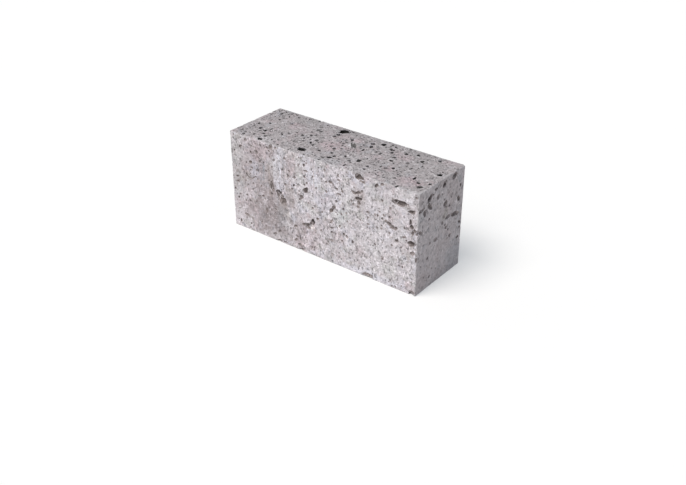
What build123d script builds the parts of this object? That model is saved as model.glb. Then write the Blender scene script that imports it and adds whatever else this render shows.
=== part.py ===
from build123d import *

import os
from dataclasses import dataclass
from math import cos, pi, sin

# Concrete paving brick: one moulded block with worn arrises and open air voids in its faces.
# The block stands on its bed face. X runs along its length, Y across its width, Z up,
# with the origin at the middle of the bed face. All sizes are in millimetres.

# Block
brick_length = 210.0
brick_width = 70.0
brick_height = 98.0
arris_radius = 1.0

# Air voids and chips
rim_sides = 9
pit_sides = 7
pit_length = 4.9  # a hollow up to this long is a pit, with one sloping wall and no shoulder
rim_swell = 0.14  # how far a rim wanders in and out, as a share of its own radius
shoulder_share = 0.6  # how far down its depth a hollow's wall turns into its floor
shoulder_scale = 0.84  # size of a hollow at its shoulder, against its rim
floor_scale = 0.42  # size of a hollow's floor, against its rim
pit_floor_scale = 0.5  # size of a pit's floor, against its rim
phase_step = 2.4  # turns each hollow's rim against the last, in radians
cutter_lip = 1.0  # how far a cutter stands out of the surface


@dataclass
class Hollow:
    """A scoop in the block's surface.

    along and up are shares of the face it lies in, from the face's lower left corner as seen
    from outside, so a scoop stays on its face whatever the block's size. On an arris only
    along counts. turn is in degrees, anticlockwise as seen from outside. depth is a share of
    the scoop's own width.
    """

    along: float
    up: float
    length: float
    width: float
    turn: float = 0.0
    depth: float = 0.45


# The open air voids of about 3 mm and more, face by face
voids = {
    "front": [
        Hollow(0.276, 0.533, 5.8, 4.4, -60, 0.8),
        Hollow(0.294, 0.486, 11.5, 7.0, -50, 0.28),
        Hollow(0.238, 0.578, 10.5, 3.6, -84, 0.3),
        Hollow(0.429, 0.659, 6.6, 4.6, 50, 0.55),
        Hollow(0.404, 0.567, 6.0, 3.8, 60, 0.4),
        Hollow(0.429, 0.300, 9.6, 3.4, 8, 0.6),
        Hollow(0.451, 0.327, 5.2, 2.8, 36, 0.6),
        Hollow(0.469, 0.357, 4.8, 3.8, 110, 0.65),
        Hollow(0.574, 0.567, 9.0, 2.6, 52, 0.45),
        Hollow(0.716, 0.963, 10.5, 5.4, -8, 0.45),
        Hollow(0.707, 0.818, 9.0, 3.0, 20, 0.45),
        Hollow(0.710, 0.761, 6.6, 3.2, 6, 0.6),
        Hollow(0.710, 0.704, 5.8, 3.2, 90, 0.3),
        Hollow(0.888, 0.859, 6.0, 4.0, 20, 0.65),
        Hollow(0.919, 0.867, 11.0, 3.8, -5, 0.45),
        Hollow(0.871, 0.614, 8.5, 3.4, -35, 0.4),
        Hollow(0.892, 0.606, 4.6, 2.6, 25, 0.45),
        Hollow(0.972, 0.814, 7.0, 3.4, 10, 0.45),
        Hollow(0.966, 0.684, 5.6, 2.4, -72, 0.6),
        Hollow(0.977, 0.643, 5.4, 3.0, -40, 0.6),
        Hollow(0.974, 0.508, 7.4, 4.6, 6, 0.35),
        Hollow(0.978, 0.424, 5.4, 3.6, 15, 0.25),
        Hollow(0.564, 0.829, 4.2, 2.8, 0, 0.45),
        Hollow(0.115, 0.747, 3.8, 3.2, 60, 0.4),
        Hollow(0.152, 0.869, 3.8, 3.2, -30, 0.4),
        Hollow(0.170, 0.784, 3.0, 2.6, 30, 0.4),
        Hollow(0.300, 0.784, 3.0, 2.6, 0, 0.4),
        Hollow(0.370, 0.749, 2.8, 2.4, 0, 0.5),
        Hollow(0.369, 0.243, 3.4, 2.6, 30, 0.4),
        Hollow(0.597, 0.782, 3.2, 2.6, 30, 0.4),
        Hollow(0.799, 0.941, 4.4, 2.6, 50, 0.4),
        Hollow(0.901, 0.490, 3.6, 2.6, 10, 0.5),
        Hollow(0.680, 0.308, 2.8, 3.2, 0, 0.4),
        Hollow(0.102, 0.329, 3.0, 2.6, 0, 0.4),
    ],
    "top": [
        Hollow(0.378, 0.131, 7.6, 7.6, 10, 0.9),
        Hollow(0.407, 0.920, 9.4, 5.6, 38, 0.7),
        Hollow(0.406, 0.783, 5.0, 4.0, 75, 0.8),
        Hollow(0.401, 0.706, 4.2, 3.2, 80, 0.7),
        Hollow(0.621, 0.886, 5.6, 4.2, 105, 0.9),
        Hollow(0.579, 0.823, 5.0, 4.0, 120, 0.8),
        Hollow(0.591, 0.731, 5.0, 3.6, 110, 0.7),
        Hollow(0.680, 0.823, 4.8, 3.6, 110, 0.9),
        Hollow(0.697, 0.746, 3.8, 2.4, 120, 0.8),
        Hollow(0.486, 0.754, 4.6, 3.4, 110, 0.9),
        Hollow(0.968, 0.577, 4.8, 4.8, 0, 0.9),
        Hollow(0.526, 0.611, 11.0, 4.6, -50, 0.2),
        Hollow(0.119, 0.300, 5.0, 4.0, 130, 0.8),
        Hollow(0.086, 0.320, 4.0, 3.2, 120, 0.9),
        Hollow(0.162, 0.164, 3.6, 3.2, 110, 0.9),
        Hollow(0.138, 0.206, 3.4, 3.0, 0, 0.7),
        Hollow(0.163, 0.049, 4.4, 3.4, -30, 0.9),
        Hollow(0.070, 0.051, 3.2, 3.4, 20, 0.9),
        Hollow(0.062, 0.107, 3.0, 3.0, 0, 0.7),
        Hollow(0.634, 0.309, 5.8, 3.8, 100, 0.6),
        Hollow(0.695, 0.243, 3.6, 3.6, 0, 0.9),
        Hollow(0.697, 0.160, 3.6, 3.8, 0, 0.8),
        Hollow(0.565, 0.306, 3.4, 3.4, 30, 0.9),
        Hollow(0.442, 0.243, 3.6, 3.4, 30, 0.9),
        Hollow(0.526, 0.223, 3.4, 3.4, 30, 0.7),
        Hollow(0.498, 0.286, 3.0, 3.6, 35, 0.6),
        Hollow(0.362, 0.360, 2.2, 4.6, 30, 0.7),
        Hollow(0.478, 0.406, 3.2, 3.6, 0, 0.5),
        Hollow(0.738, 0.551, 3.6, 3.6, 20, 0.9),
        Hollow(0.730, 0.646, 3.2, 3.4, -30, 0.9),
        Hollow(0.751, 0.823, 3.6, 3.8, 20, 0.7),
        Hollow(0.845, 0.754, 3.2, 3.6, 20, 0.7),
        Hollow(0.900, 0.906, 3.2, 3.8, 20, 0.9),
        Hollow(0.964, 0.169, 5.4, 4.4, 70, 0.3),
        Hollow(0.940, 0.246, 3.2, 3.4, 30, 0.9),
        Hollow(0.906, 0.314, 2.6, 5.6, 15, 0.6),
        Hollow(0.982, 0.306, 2.8, 3.6, 20, 0.6),
        Hollow(0.787, 0.386, 2.8, 3.6, 20, 0.7),
        Hollow(0.229, 0.410, 3.6, 3.2, -30, 0.9),
        Hollow(0.318, 0.537, 3.4, 2.6, -20, 0.7),
        Hollow(0.285, 0.477, 3.4, 2.8, -40, 0.7),
        Hollow(0.082, 0.523, 4.2, 3.0, -40, 0.8),
        Hollow(0.049, 0.414, 3.2, 2.8, 0, 0.8),
        Hollow(0.145, 0.903, 3.2, 2.6, 0, 0.8),
        Hollow(0.798, 0.883, 3.2, 3.8, 20, 0.7),
        Hollow(0.165, 0.683, 2.8, 4.0, 35, 0.7),
        Hollow(0.517, 0.154, 4.6, 3.6, 30, 0.4),
        Hollow(0.495, 0.111, 3.4, 3.0, 0, 0.4),
        Hollow(0.840, 0.180, 3.6, 3.0, 0, 0.4),
        Hollow(0.198, 0.946, 3.2, 2.6, 0, 0.6),
        Hollow(0.482, 0.646, 3.4, 2.6, 0, 0.3),
        Hollow(0.585, 0.586, 4.6, 1.8, -75, 0.6),
        Hollow(0.740, 0.207, 3.0, 2.4, -70, 0.6),
        Hollow(0.763, 0.130, 3.0, 2.2, -60, 0.7),
        Hollow(0.821, 0.531, 3.2, 2.2, 40, 0.5),
        Hollow(0.310, 0.261, 3.4, 2.6, 0, 0.25),
    ],
    "right_end": [
        Hollow(0.243, 0.898, 8.5, 5.4, 20, 0.45),
        Hollow(0.240, 0.818, 8.5, 4.0, -50, 0.45),
        Hollow(0.143, 0.781, 6.0, 5.2, 70, 0.4),
        Hollow(0.040, 0.827, 4.0, 3.0, 0, 0.4),
        Hollow(0.550, 0.939, 6.0, 5.0, 100, 0.4),
        Hollow(0.771, 0.955, 7.0, 5.0, 10, 0.4),
        Hollow(0.414, 0.857, 5.2, 4.6, 40, 0.4),
        Hollow(0.586, 0.740, 7.4, 5.2, 45, 0.4),
        Hollow(0.821, 0.573, 12.0, 4.4, -15, 0.4),
        Hollow(0.663, 0.592, 7.0, 3.8, 5, 0.4),
        Hollow(0.894, 0.706, 5.6, 4.2, -60, 0.35),
        Hollow(0.943, 0.457, 3.8, 2.8, -40, 0.4),
        Hollow(0.407, 0.444, 5.4, 4.4, -30, 0.4),
        Hollow(0.066, 0.614, 7.6, 3.0, -32, 0.4),
        Hollow(0.736, 0.383, 3.8, 3.2, 0, 0.4),
        Hollow(0.243, 0.311, 4.2, 3.0, 0, 0.4),
        Hollow(0.923, 0.306, 4.0, 3.0, 0, 0.4),
        Hollow(0.686, 0.694, 3.2, 2.8, 0, 0.4),
        Hollow(0.243, 0.694, 3.2, 2.8, 0, 0.4),
        Hollow(0.629, 0.495, 4.0, 3.0, -20, 0.4),
        Hollow(0.543, 0.566, 3.6, 2.6, -40, 0.4),
        Hollow(0.923, 0.829, 3.0, 3.4, 0, 0.4),
        Hollow(0.357, 0.949, 4.0, 3.0, 0, 0.4),
    ],
    "back": [
        Hollow(0.110, 0.620, 9.0, 4.6, 30),
        Hollow(0.232, 0.880, 6.5, 4.4, -20),
        Hollow(0.318, 0.350, 11.0, 4.6, -55),
        Hollow(0.470, 0.720, 6.0, 5.0, 80),
        Hollow(0.536, 0.500, 8.5, 3.6, 15),
        Hollow(0.660, 0.240, 7.0, 4.4, -35),
        Hollow(0.742, 0.810, 10.0, 4.8, 10),
        Hollow(0.884, 0.560, 6.6, 5.0, -70),
        Hollow(0.930, 0.300, 5.6, 4.2, 45),
    ],
    "left_end": [
        Hollow(0.200, 0.730, 7.0, 4.6, -40),
        Hollow(0.450, 0.900, 6.0, 4.6, 15),
        Hollow(0.640, 0.610, 9.5, 4.2, 70),
        Hollow(0.820, 0.820, 5.6, 4.8, 0),
        Hollow(0.340, 0.380, 6.4, 4.0, -15),
        Hollow(0.780, 0.250, 5.4, 4.2, 55),
    ],
    "bed": [
        Hollow(0.090, 0.300, 6.6, 5.0, 25),
        Hollow(0.215, 0.700, 8.0, 5.2, -60),
        Hollow(0.362, 0.440, 5.8, 4.4, 110),
        Hollow(0.490, 0.810, 7.2, 4.6, 5),
        Hollow(0.615, 0.260, 9.0, 5.0, -30),
        Hollow(0.758, 0.640, 5.6, 4.6, 80),
        Hollow(0.905, 0.420, 6.8, 4.8, -10),
    ],
}

# The places where an arris has broken or worn away
chips = {
    "front_bottom": [
        Hollow(0.265, 0.0, 5.0, 3.0),
        Hollow(0.395, 0.0, 8.0, 3.2),
        Hollow(0.762, 0.0, 9.0, 4.0),
        Hollow(0.975, 0.0, 6.0, 3.6),
    ],
    "front_top": [
        Hollow(0.200, 0.0, 80.0, 4.4, depth=0.28),
    ],
    "front_right": [
        Hollow(0.632, 0.0, 6.0, 4.0),
        Hollow(0.365, 0.0, 5.0, 3.2),
    ],
    "back_bottom": [
        Hollow(0.240, 0.0, 9.0, 4.6),
        Hollow(0.690, 0.0, 6.0, 4.0),
    ],
}


def block() -> Part:
    """The moulded block on its bed face, with its arrises worn round."""
    blank = Box(
        brick_length,
        brick_width,
        brick_height,
        align=(Align.CENTER, Align.CENTER, Align.MIN),
    )
    return fillet(blank.edges(), arris_radius)


def face_frames() -> dict[str, tuple[Plane, float, float]]:
    """Each face's plane, from its lower left corner seen from outside, with its length and height."""
    right, back = brick_length / 2, brick_width / 2
    return {
        "front": (Plane((-right, -back, 0), (1, 0, 0), (0, -1, 0)), brick_length, brick_height),
        "back": (Plane((right, back, 0), (-1, 0, 0), (0, 1, 0)), brick_length, brick_height),
        "right_end": (Plane((right, -back, 0), (0, 1, 0), (1, 0, 0)), brick_width, brick_height),
        "left_end": (Plane((-right, back, 0), (0, -1, 0), (-1, 0, 0)), brick_width, brick_height),
        "top": (Plane((-right, -back, brick_height), (1, 0, 0), (0, 0, 1)), brick_length, brick_width),
        "bed": (Plane((-right, back, 0), (1, 0, 0), (0, 0, -1)), brick_length, brick_width),
    }


def arris_frames() -> dict[str, tuple[Plane, float]]:
    """Each chipped arris's plane, square to the bisector of its two faces, with its length."""
    right, back = brick_length / 2, brick_width / 2
    return {
        "front_bottom": (Plane((-right, -back, 0), (1, 0, 0), (0, -1, -1)), brick_length),
        "front_top": (Plane((-right, -back, brick_height), (1, 0, 0), (0, -1, 1)), brick_length),
        "front_right": (Plane((right, -back, 0), (0, 0, 1), (1, -1, 0)), brick_height),
        "back_bottom": (Plane((right, back, 0), (-1, 0, 0), (0, 1, -1)), brick_length),
    }


def rough_outline(hollow: Hollow, sides: int, phase: float) -> Sketch:
    """The torn, many-sided outline of a hollow's rim, about the origin."""
    points = []
    for side in range(sides):
        angle = 2 * pi * side / sides
        swell = 1 + rim_swell * (sin(2 * angle + phase) + sin(3 * angle - phase)) / 2
        points.append((swell * hollow.length / 2 * cos(angle), swell * hollow.width / 2 * sin(angle)))
    return Polygon(*points, align=None)


def scoop(hollow: Hollow, phase: float) -> Part:
    """A cutter that leaves a hollow below z = 0: one slope in a pit, else a steep wall and a small floor."""
    depth = hollow.depth * hollow.width
    if max(hollow.length, hollow.width) <= pit_length:
        rim = rough_outline(hollow, pit_sides, phase)
        steps = [(depth, pit_floor_scale)]
    else:
        rim = rough_outline(hollow, rim_sides, phase)
        steps = [(shoulder_share * depth, shoulder_scale), (depth, floor_scale)]
    first_depth, first_scale = steps[0]
    lip_scale = 1 + (1 - first_scale) * cutter_lip / first_depth
    rings = [Pos(0, 0, cutter_lip) * scale(rim, lip_scale)]
    for down, size in steps:
        rings.append(Pos(0, 0, -down) * scale(rim, size))
    return loft(rings, ruled=True)


def void_cutters() -> list[Part]:
    """The scoops of the air voids, each in its place on its face."""
    cutters = []
    for name, (plane, length, height) in face_frames().items():
        for void in voids[name]:
            place = plane * Pos(void.along * length, void.up * height, 0) * Rot(0, 0, void.turn)
            cutters.append(place * scoop(void, phase_step * len(cutters)))
    return cutters


def chip_cutters() -> list[Part]:
    """The scoops that break the arrises, each lying along its arris."""
    cutters = []
    for name, (plane, length) in arris_frames().items():
        for chip in chips[name]:
            place = plane * Pos(chip.along * length, 0, 0)
            cutters.append(place * scoop(chip, phase_step * len(cutters)))
    return cutters


def main() -> None:
    """Build the brick and write it as one solid."""
    brick = block() - void_cutters() - chip_cutters()
    os.makedirs("parts", exist_ok=True)
    export_step(brick, "parts/brick.step")
    print("volume", round(brick.volume), "mm3, solids", len(brick.solids()), "faces", len(brick.faces()))


main()
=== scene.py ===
"""Looks of a concrete paving brick: a worn, pitted block of sandy concrete on a white studio floor.

The brick is one closed mesh. A fine grid wraps the block, its arrises are worn round, and lumpy
bubbles are then cut out of it, so that each air void and each broken arris is a real hollow.
Sizes are in millimetres until a mesh is made, and in metres from there on.
"""

import logging
import math
import random
from dataclasses import dataclass, replace
from enum import Enum
from typing import Any

import bmesh
import bpy
import numpy as np
from mathutils import Matrix, Vector, noise


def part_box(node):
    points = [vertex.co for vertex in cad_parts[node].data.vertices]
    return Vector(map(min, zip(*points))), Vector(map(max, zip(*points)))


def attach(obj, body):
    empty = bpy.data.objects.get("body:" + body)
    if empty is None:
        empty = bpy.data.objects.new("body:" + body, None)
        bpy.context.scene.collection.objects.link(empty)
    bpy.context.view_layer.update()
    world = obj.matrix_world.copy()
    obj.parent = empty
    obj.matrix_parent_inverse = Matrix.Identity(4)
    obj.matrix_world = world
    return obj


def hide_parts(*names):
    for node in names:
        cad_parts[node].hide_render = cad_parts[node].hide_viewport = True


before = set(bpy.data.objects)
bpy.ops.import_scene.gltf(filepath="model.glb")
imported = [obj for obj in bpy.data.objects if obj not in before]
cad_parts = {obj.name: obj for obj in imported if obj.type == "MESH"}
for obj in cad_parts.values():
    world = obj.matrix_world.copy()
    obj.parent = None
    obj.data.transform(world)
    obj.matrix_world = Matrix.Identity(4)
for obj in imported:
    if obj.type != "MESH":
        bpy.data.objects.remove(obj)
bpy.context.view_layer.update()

log = logging.getLogger("paving_brick")

MM = 0.001
NODE = "brick"
PHOTO_WIDTH = 686

# Values that the brick's mesh keeps on its points, and the wall number of a broken arris
HOLLOW_DEPTH = "hollow_depth"
ARRIS_DISTANCE = "arris_distance"
WALL_NUMBER = "wall_number"
ARRIS_NUMBER = 7

# How far a zone of a face reaches into the block and out of it
ZONE_DEPTH = 8.0

# The curve of the colours on a screen
SCREEN_WHITE = 255
SCREEN_KNEE = 0.04045
SCREEN_SLOPE = 12.92
SCREEN_LIFT = 0.055
SCREEN_POWER = 2.4

Colour = tuple[float, float, float, float]
Items = bpy.types.bpy_prop_collection


def paint(red: int, green: int, blue: int) -> Colour:
    """Turn a colour as it is seen on a screen into the linear colour that a shader takes.

    Args:
        red: Red, from 0 to 255.
        green: Green, from 0 to 255.
        blue: Blue, from 0 to 255.

    Returns:
        The linear colour, with full alpha.
    """
    seen = Vector((red, green, blue)) / SCREEN_WHITE
    curved = [((shade + SCREEN_LIFT) / (1 + SCREEN_LIFT)) ** SCREEN_POWER for shade in seen]
    linear = [shade / SCREEN_SLOPE if shade <= SCREEN_KNEE else curve for shade, curve in zip(seen, curved)]
    return (*linear, 1.0)


class Face(Enum):
    """The six faces of the block, each as the way out of it and the way along it, seen from outside."""

    FRONT = ((0, -1, 0), (1, 0, 0))
    BACK = ((0, 1, 0), (-1, 0, 0))
    RIGHT_END = ((1, 0, 0), (0, 1, 0))
    LEFT_END = ((-1, 0, 0), (0, -1, 0))
    TOP = ((0, 0, 1), (1, 0, 0))
    BED = ((0, 0, -1), (1, 0, 0))

    @property
    def number(self) -> int:
        """The face's number, from 1."""
        return list(Face).index(self) + 1

    @property
    def out(self) -> Vector:
        """The way out of the face."""
        return Vector(self.value[0])

    @property
    def along(self) -> Vector:
        """The way along the face."""
        return Vector(self.value[1])

    @property
    def up(self) -> Vector:
        """The way up the face."""
        return self.out.cross(self.along)


class Arris(Enum):
    """The twelve arrises of the block, each as the way out of it; it runs along the axis that is 0."""

    FRONT_BOTTOM = (0, -1, -1)
    FRONT_TOP = (0, -1, 1)
    BACK_BOTTOM = (0, 1, -1)
    BACK_TOP = (0, 1, 1)
    FRONT_LEFT = (-1, -1, 0)
    FRONT_RIGHT = (1, -1, 0)
    BACK_LEFT = (-1, 1, 0)
    BACK_RIGHT = (1, 1, 0)
    LEFT_BOTTOM = (-1, 0, -1)
    LEFT_TOP = (-1, 0, 1)
    RIGHT_BOTTOM = (1, 0, -1)
    RIGHT_TOP = (1, 0, 1)

    @property
    def out(self) -> Vector:
        """The way out of the arris, between its two faces."""
        return Vector(self.value).normalized()

    @property
    def along(self) -> Vector:
        """The way along the arris."""
        return Vector([1.0 if axis == 0 else 0.0 for axis in self.value])


@dataclass(frozen=True)
class Hollow:
    """An air void in a face, in millimetres from the face's lower left corner seen from outside.

    turn is in degrees, anticlockwise seen from outside. depth is a share of the width.
    """

    u: float
    v: float
    length: float
    width: float
    turn: float = 0.0
    depth: float = 0.4


@dataclass(frozen=True)
class Chip:
    """A broken place on an arris, in millimetres from the arris's lower end."""

    along: float
    length: float
    width: float
    depth: float = 0.5


@dataclass(frozen=True)
class Bubble:
    """A lumpy ball that is cut out of the block: its middle, its three unit axes and its half sizes.

    wall_number is the number of the face that it is cut into, or ARRIS_NUMBER for an arris.
    """

    middle: Vector
    axes: Matrix
    half_sizes: Vector
    wall_number: int
    bulge: float = 1.55

    @property
    def reach(self) -> float:
        """How far the bubble may reach from its middle."""
        return self.bulge * max(self.half_sizes)

    def meets(self, other: "Bubble") -> bool:
        """Whether the two bubbles may touch each other."""
        return (self.middle - other.middle).length < self.reach + other.reach

    def crowds(self, other: "Bubble") -> bool:
        """Whether the two bubbles run into each other."""
        return (self.middle - other.middle).length < max(self.half_sizes) + max(other.half_sizes)


@dataclass(frozen=True)
class Block:
    """The block's box, in millimetres."""

    low: Vector
    high: Vector

    @classmethod
    def of_node(cls, node: str) -> "Block":
        """The box of a node of the frame."""
        low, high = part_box(node)
        return cls(low / MM, high / MM)

    @property
    def size(self) -> Vector:
        """The block's length, width and height."""
        return self.high - self.low

    def corner(self, sense: Vector) -> Vector:
        """The corner on the high side of each axis where sense is positive, else on the low side."""
        return Vector([high if way > 0 else low for low, high, way in zip(self.low, self.high, sense)])

    def spot(self, face: Face, u: float, v: float) -> Vector:
        """The point of a face that lies u along and v up from its lower left corner."""
        return self.corner(face.out - face.along - face.up) + u * face.along + v * face.up

    def extent(self, face: Face) -> tuple[float, float]:
        """The length and the height of a face."""
        return abs(self.size.dot(face.along)), abs(self.size.dot(face.up))

    def void(self, face: Face, hollow: Hollow) -> Bubble:
        """Make the bubble that cuts an air void into a face.

        Args:
            face: The face that has the void.
            hollow: The air void.

        Returns:
            The bubble.
        """
        turned = Matrix.Rotation(math.radians(hollow.turn), 3, face.out)
        along = turned @ face.along
        across = turned @ face.up
        axes = Matrix((along, across, face.out)).transposed()
        half_sizes = Vector((hollow.length / 2, hollow.width / 2, hollow.depth * hollow.width))
        return Bubble(self.spot(face, hollow.u, hollow.v), axes, half_sizes, face.number)

    def chip(self, arris: Arris, chip: Chip) -> Bubble:
        """Make the bubble that breaks a piece out of an arris.

        Args:
            arris: The arris that is broken.
            chip: The broken place.

        Returns:
            The bubble.
        """
        across = arris.out.cross(arris.along)
        axes = Matrix((arris.along, across, arris.out)).transposed()
        half_sizes = Vector((chip.length / 2, chip.width / 2, chip.depth * chip.width))
        middle = self.corner(Vector(arris.value)) + chip.along * arris.along
        return Bubble(middle, axes, half_sizes, ARRIS_NUMBER)

    def run(self, arris: Arris) -> float:
        """The length of an arris."""
        return self.size.dot(arris.along)


@dataclass(frozen=True)
class Zone:
    """A soft zone of a face, in millimetres from the face's lower left corner; share is how strong it is."""

    face: Face
    u: float
    v: float
    reach_u: float
    reach_v: float
    share: float

    def centre(self, block: Block) -> Vector:
        """The middle of the zone on the block."""
        return block.spot(self.face, self.u, self.v)

    def reach(self) -> Vector:
        """How far the zone reaches along each axis."""
        spans = (self.reach_u * self.face.along, self.reach_v * self.face.up, ZONE_DEPTH * self.face.out)
        return Vector([sum(abs(part) for part in parts) for parts in zip(*spans)])

    def cover(self, u: float, v: float) -> float:
        """How strong the zone is at a place on its face."""
        inside = math.hypot((u - self.u) / self.reach_u, (v - self.v) / self.reach_v) < 1
        return self.share if inside else 0.0


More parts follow.
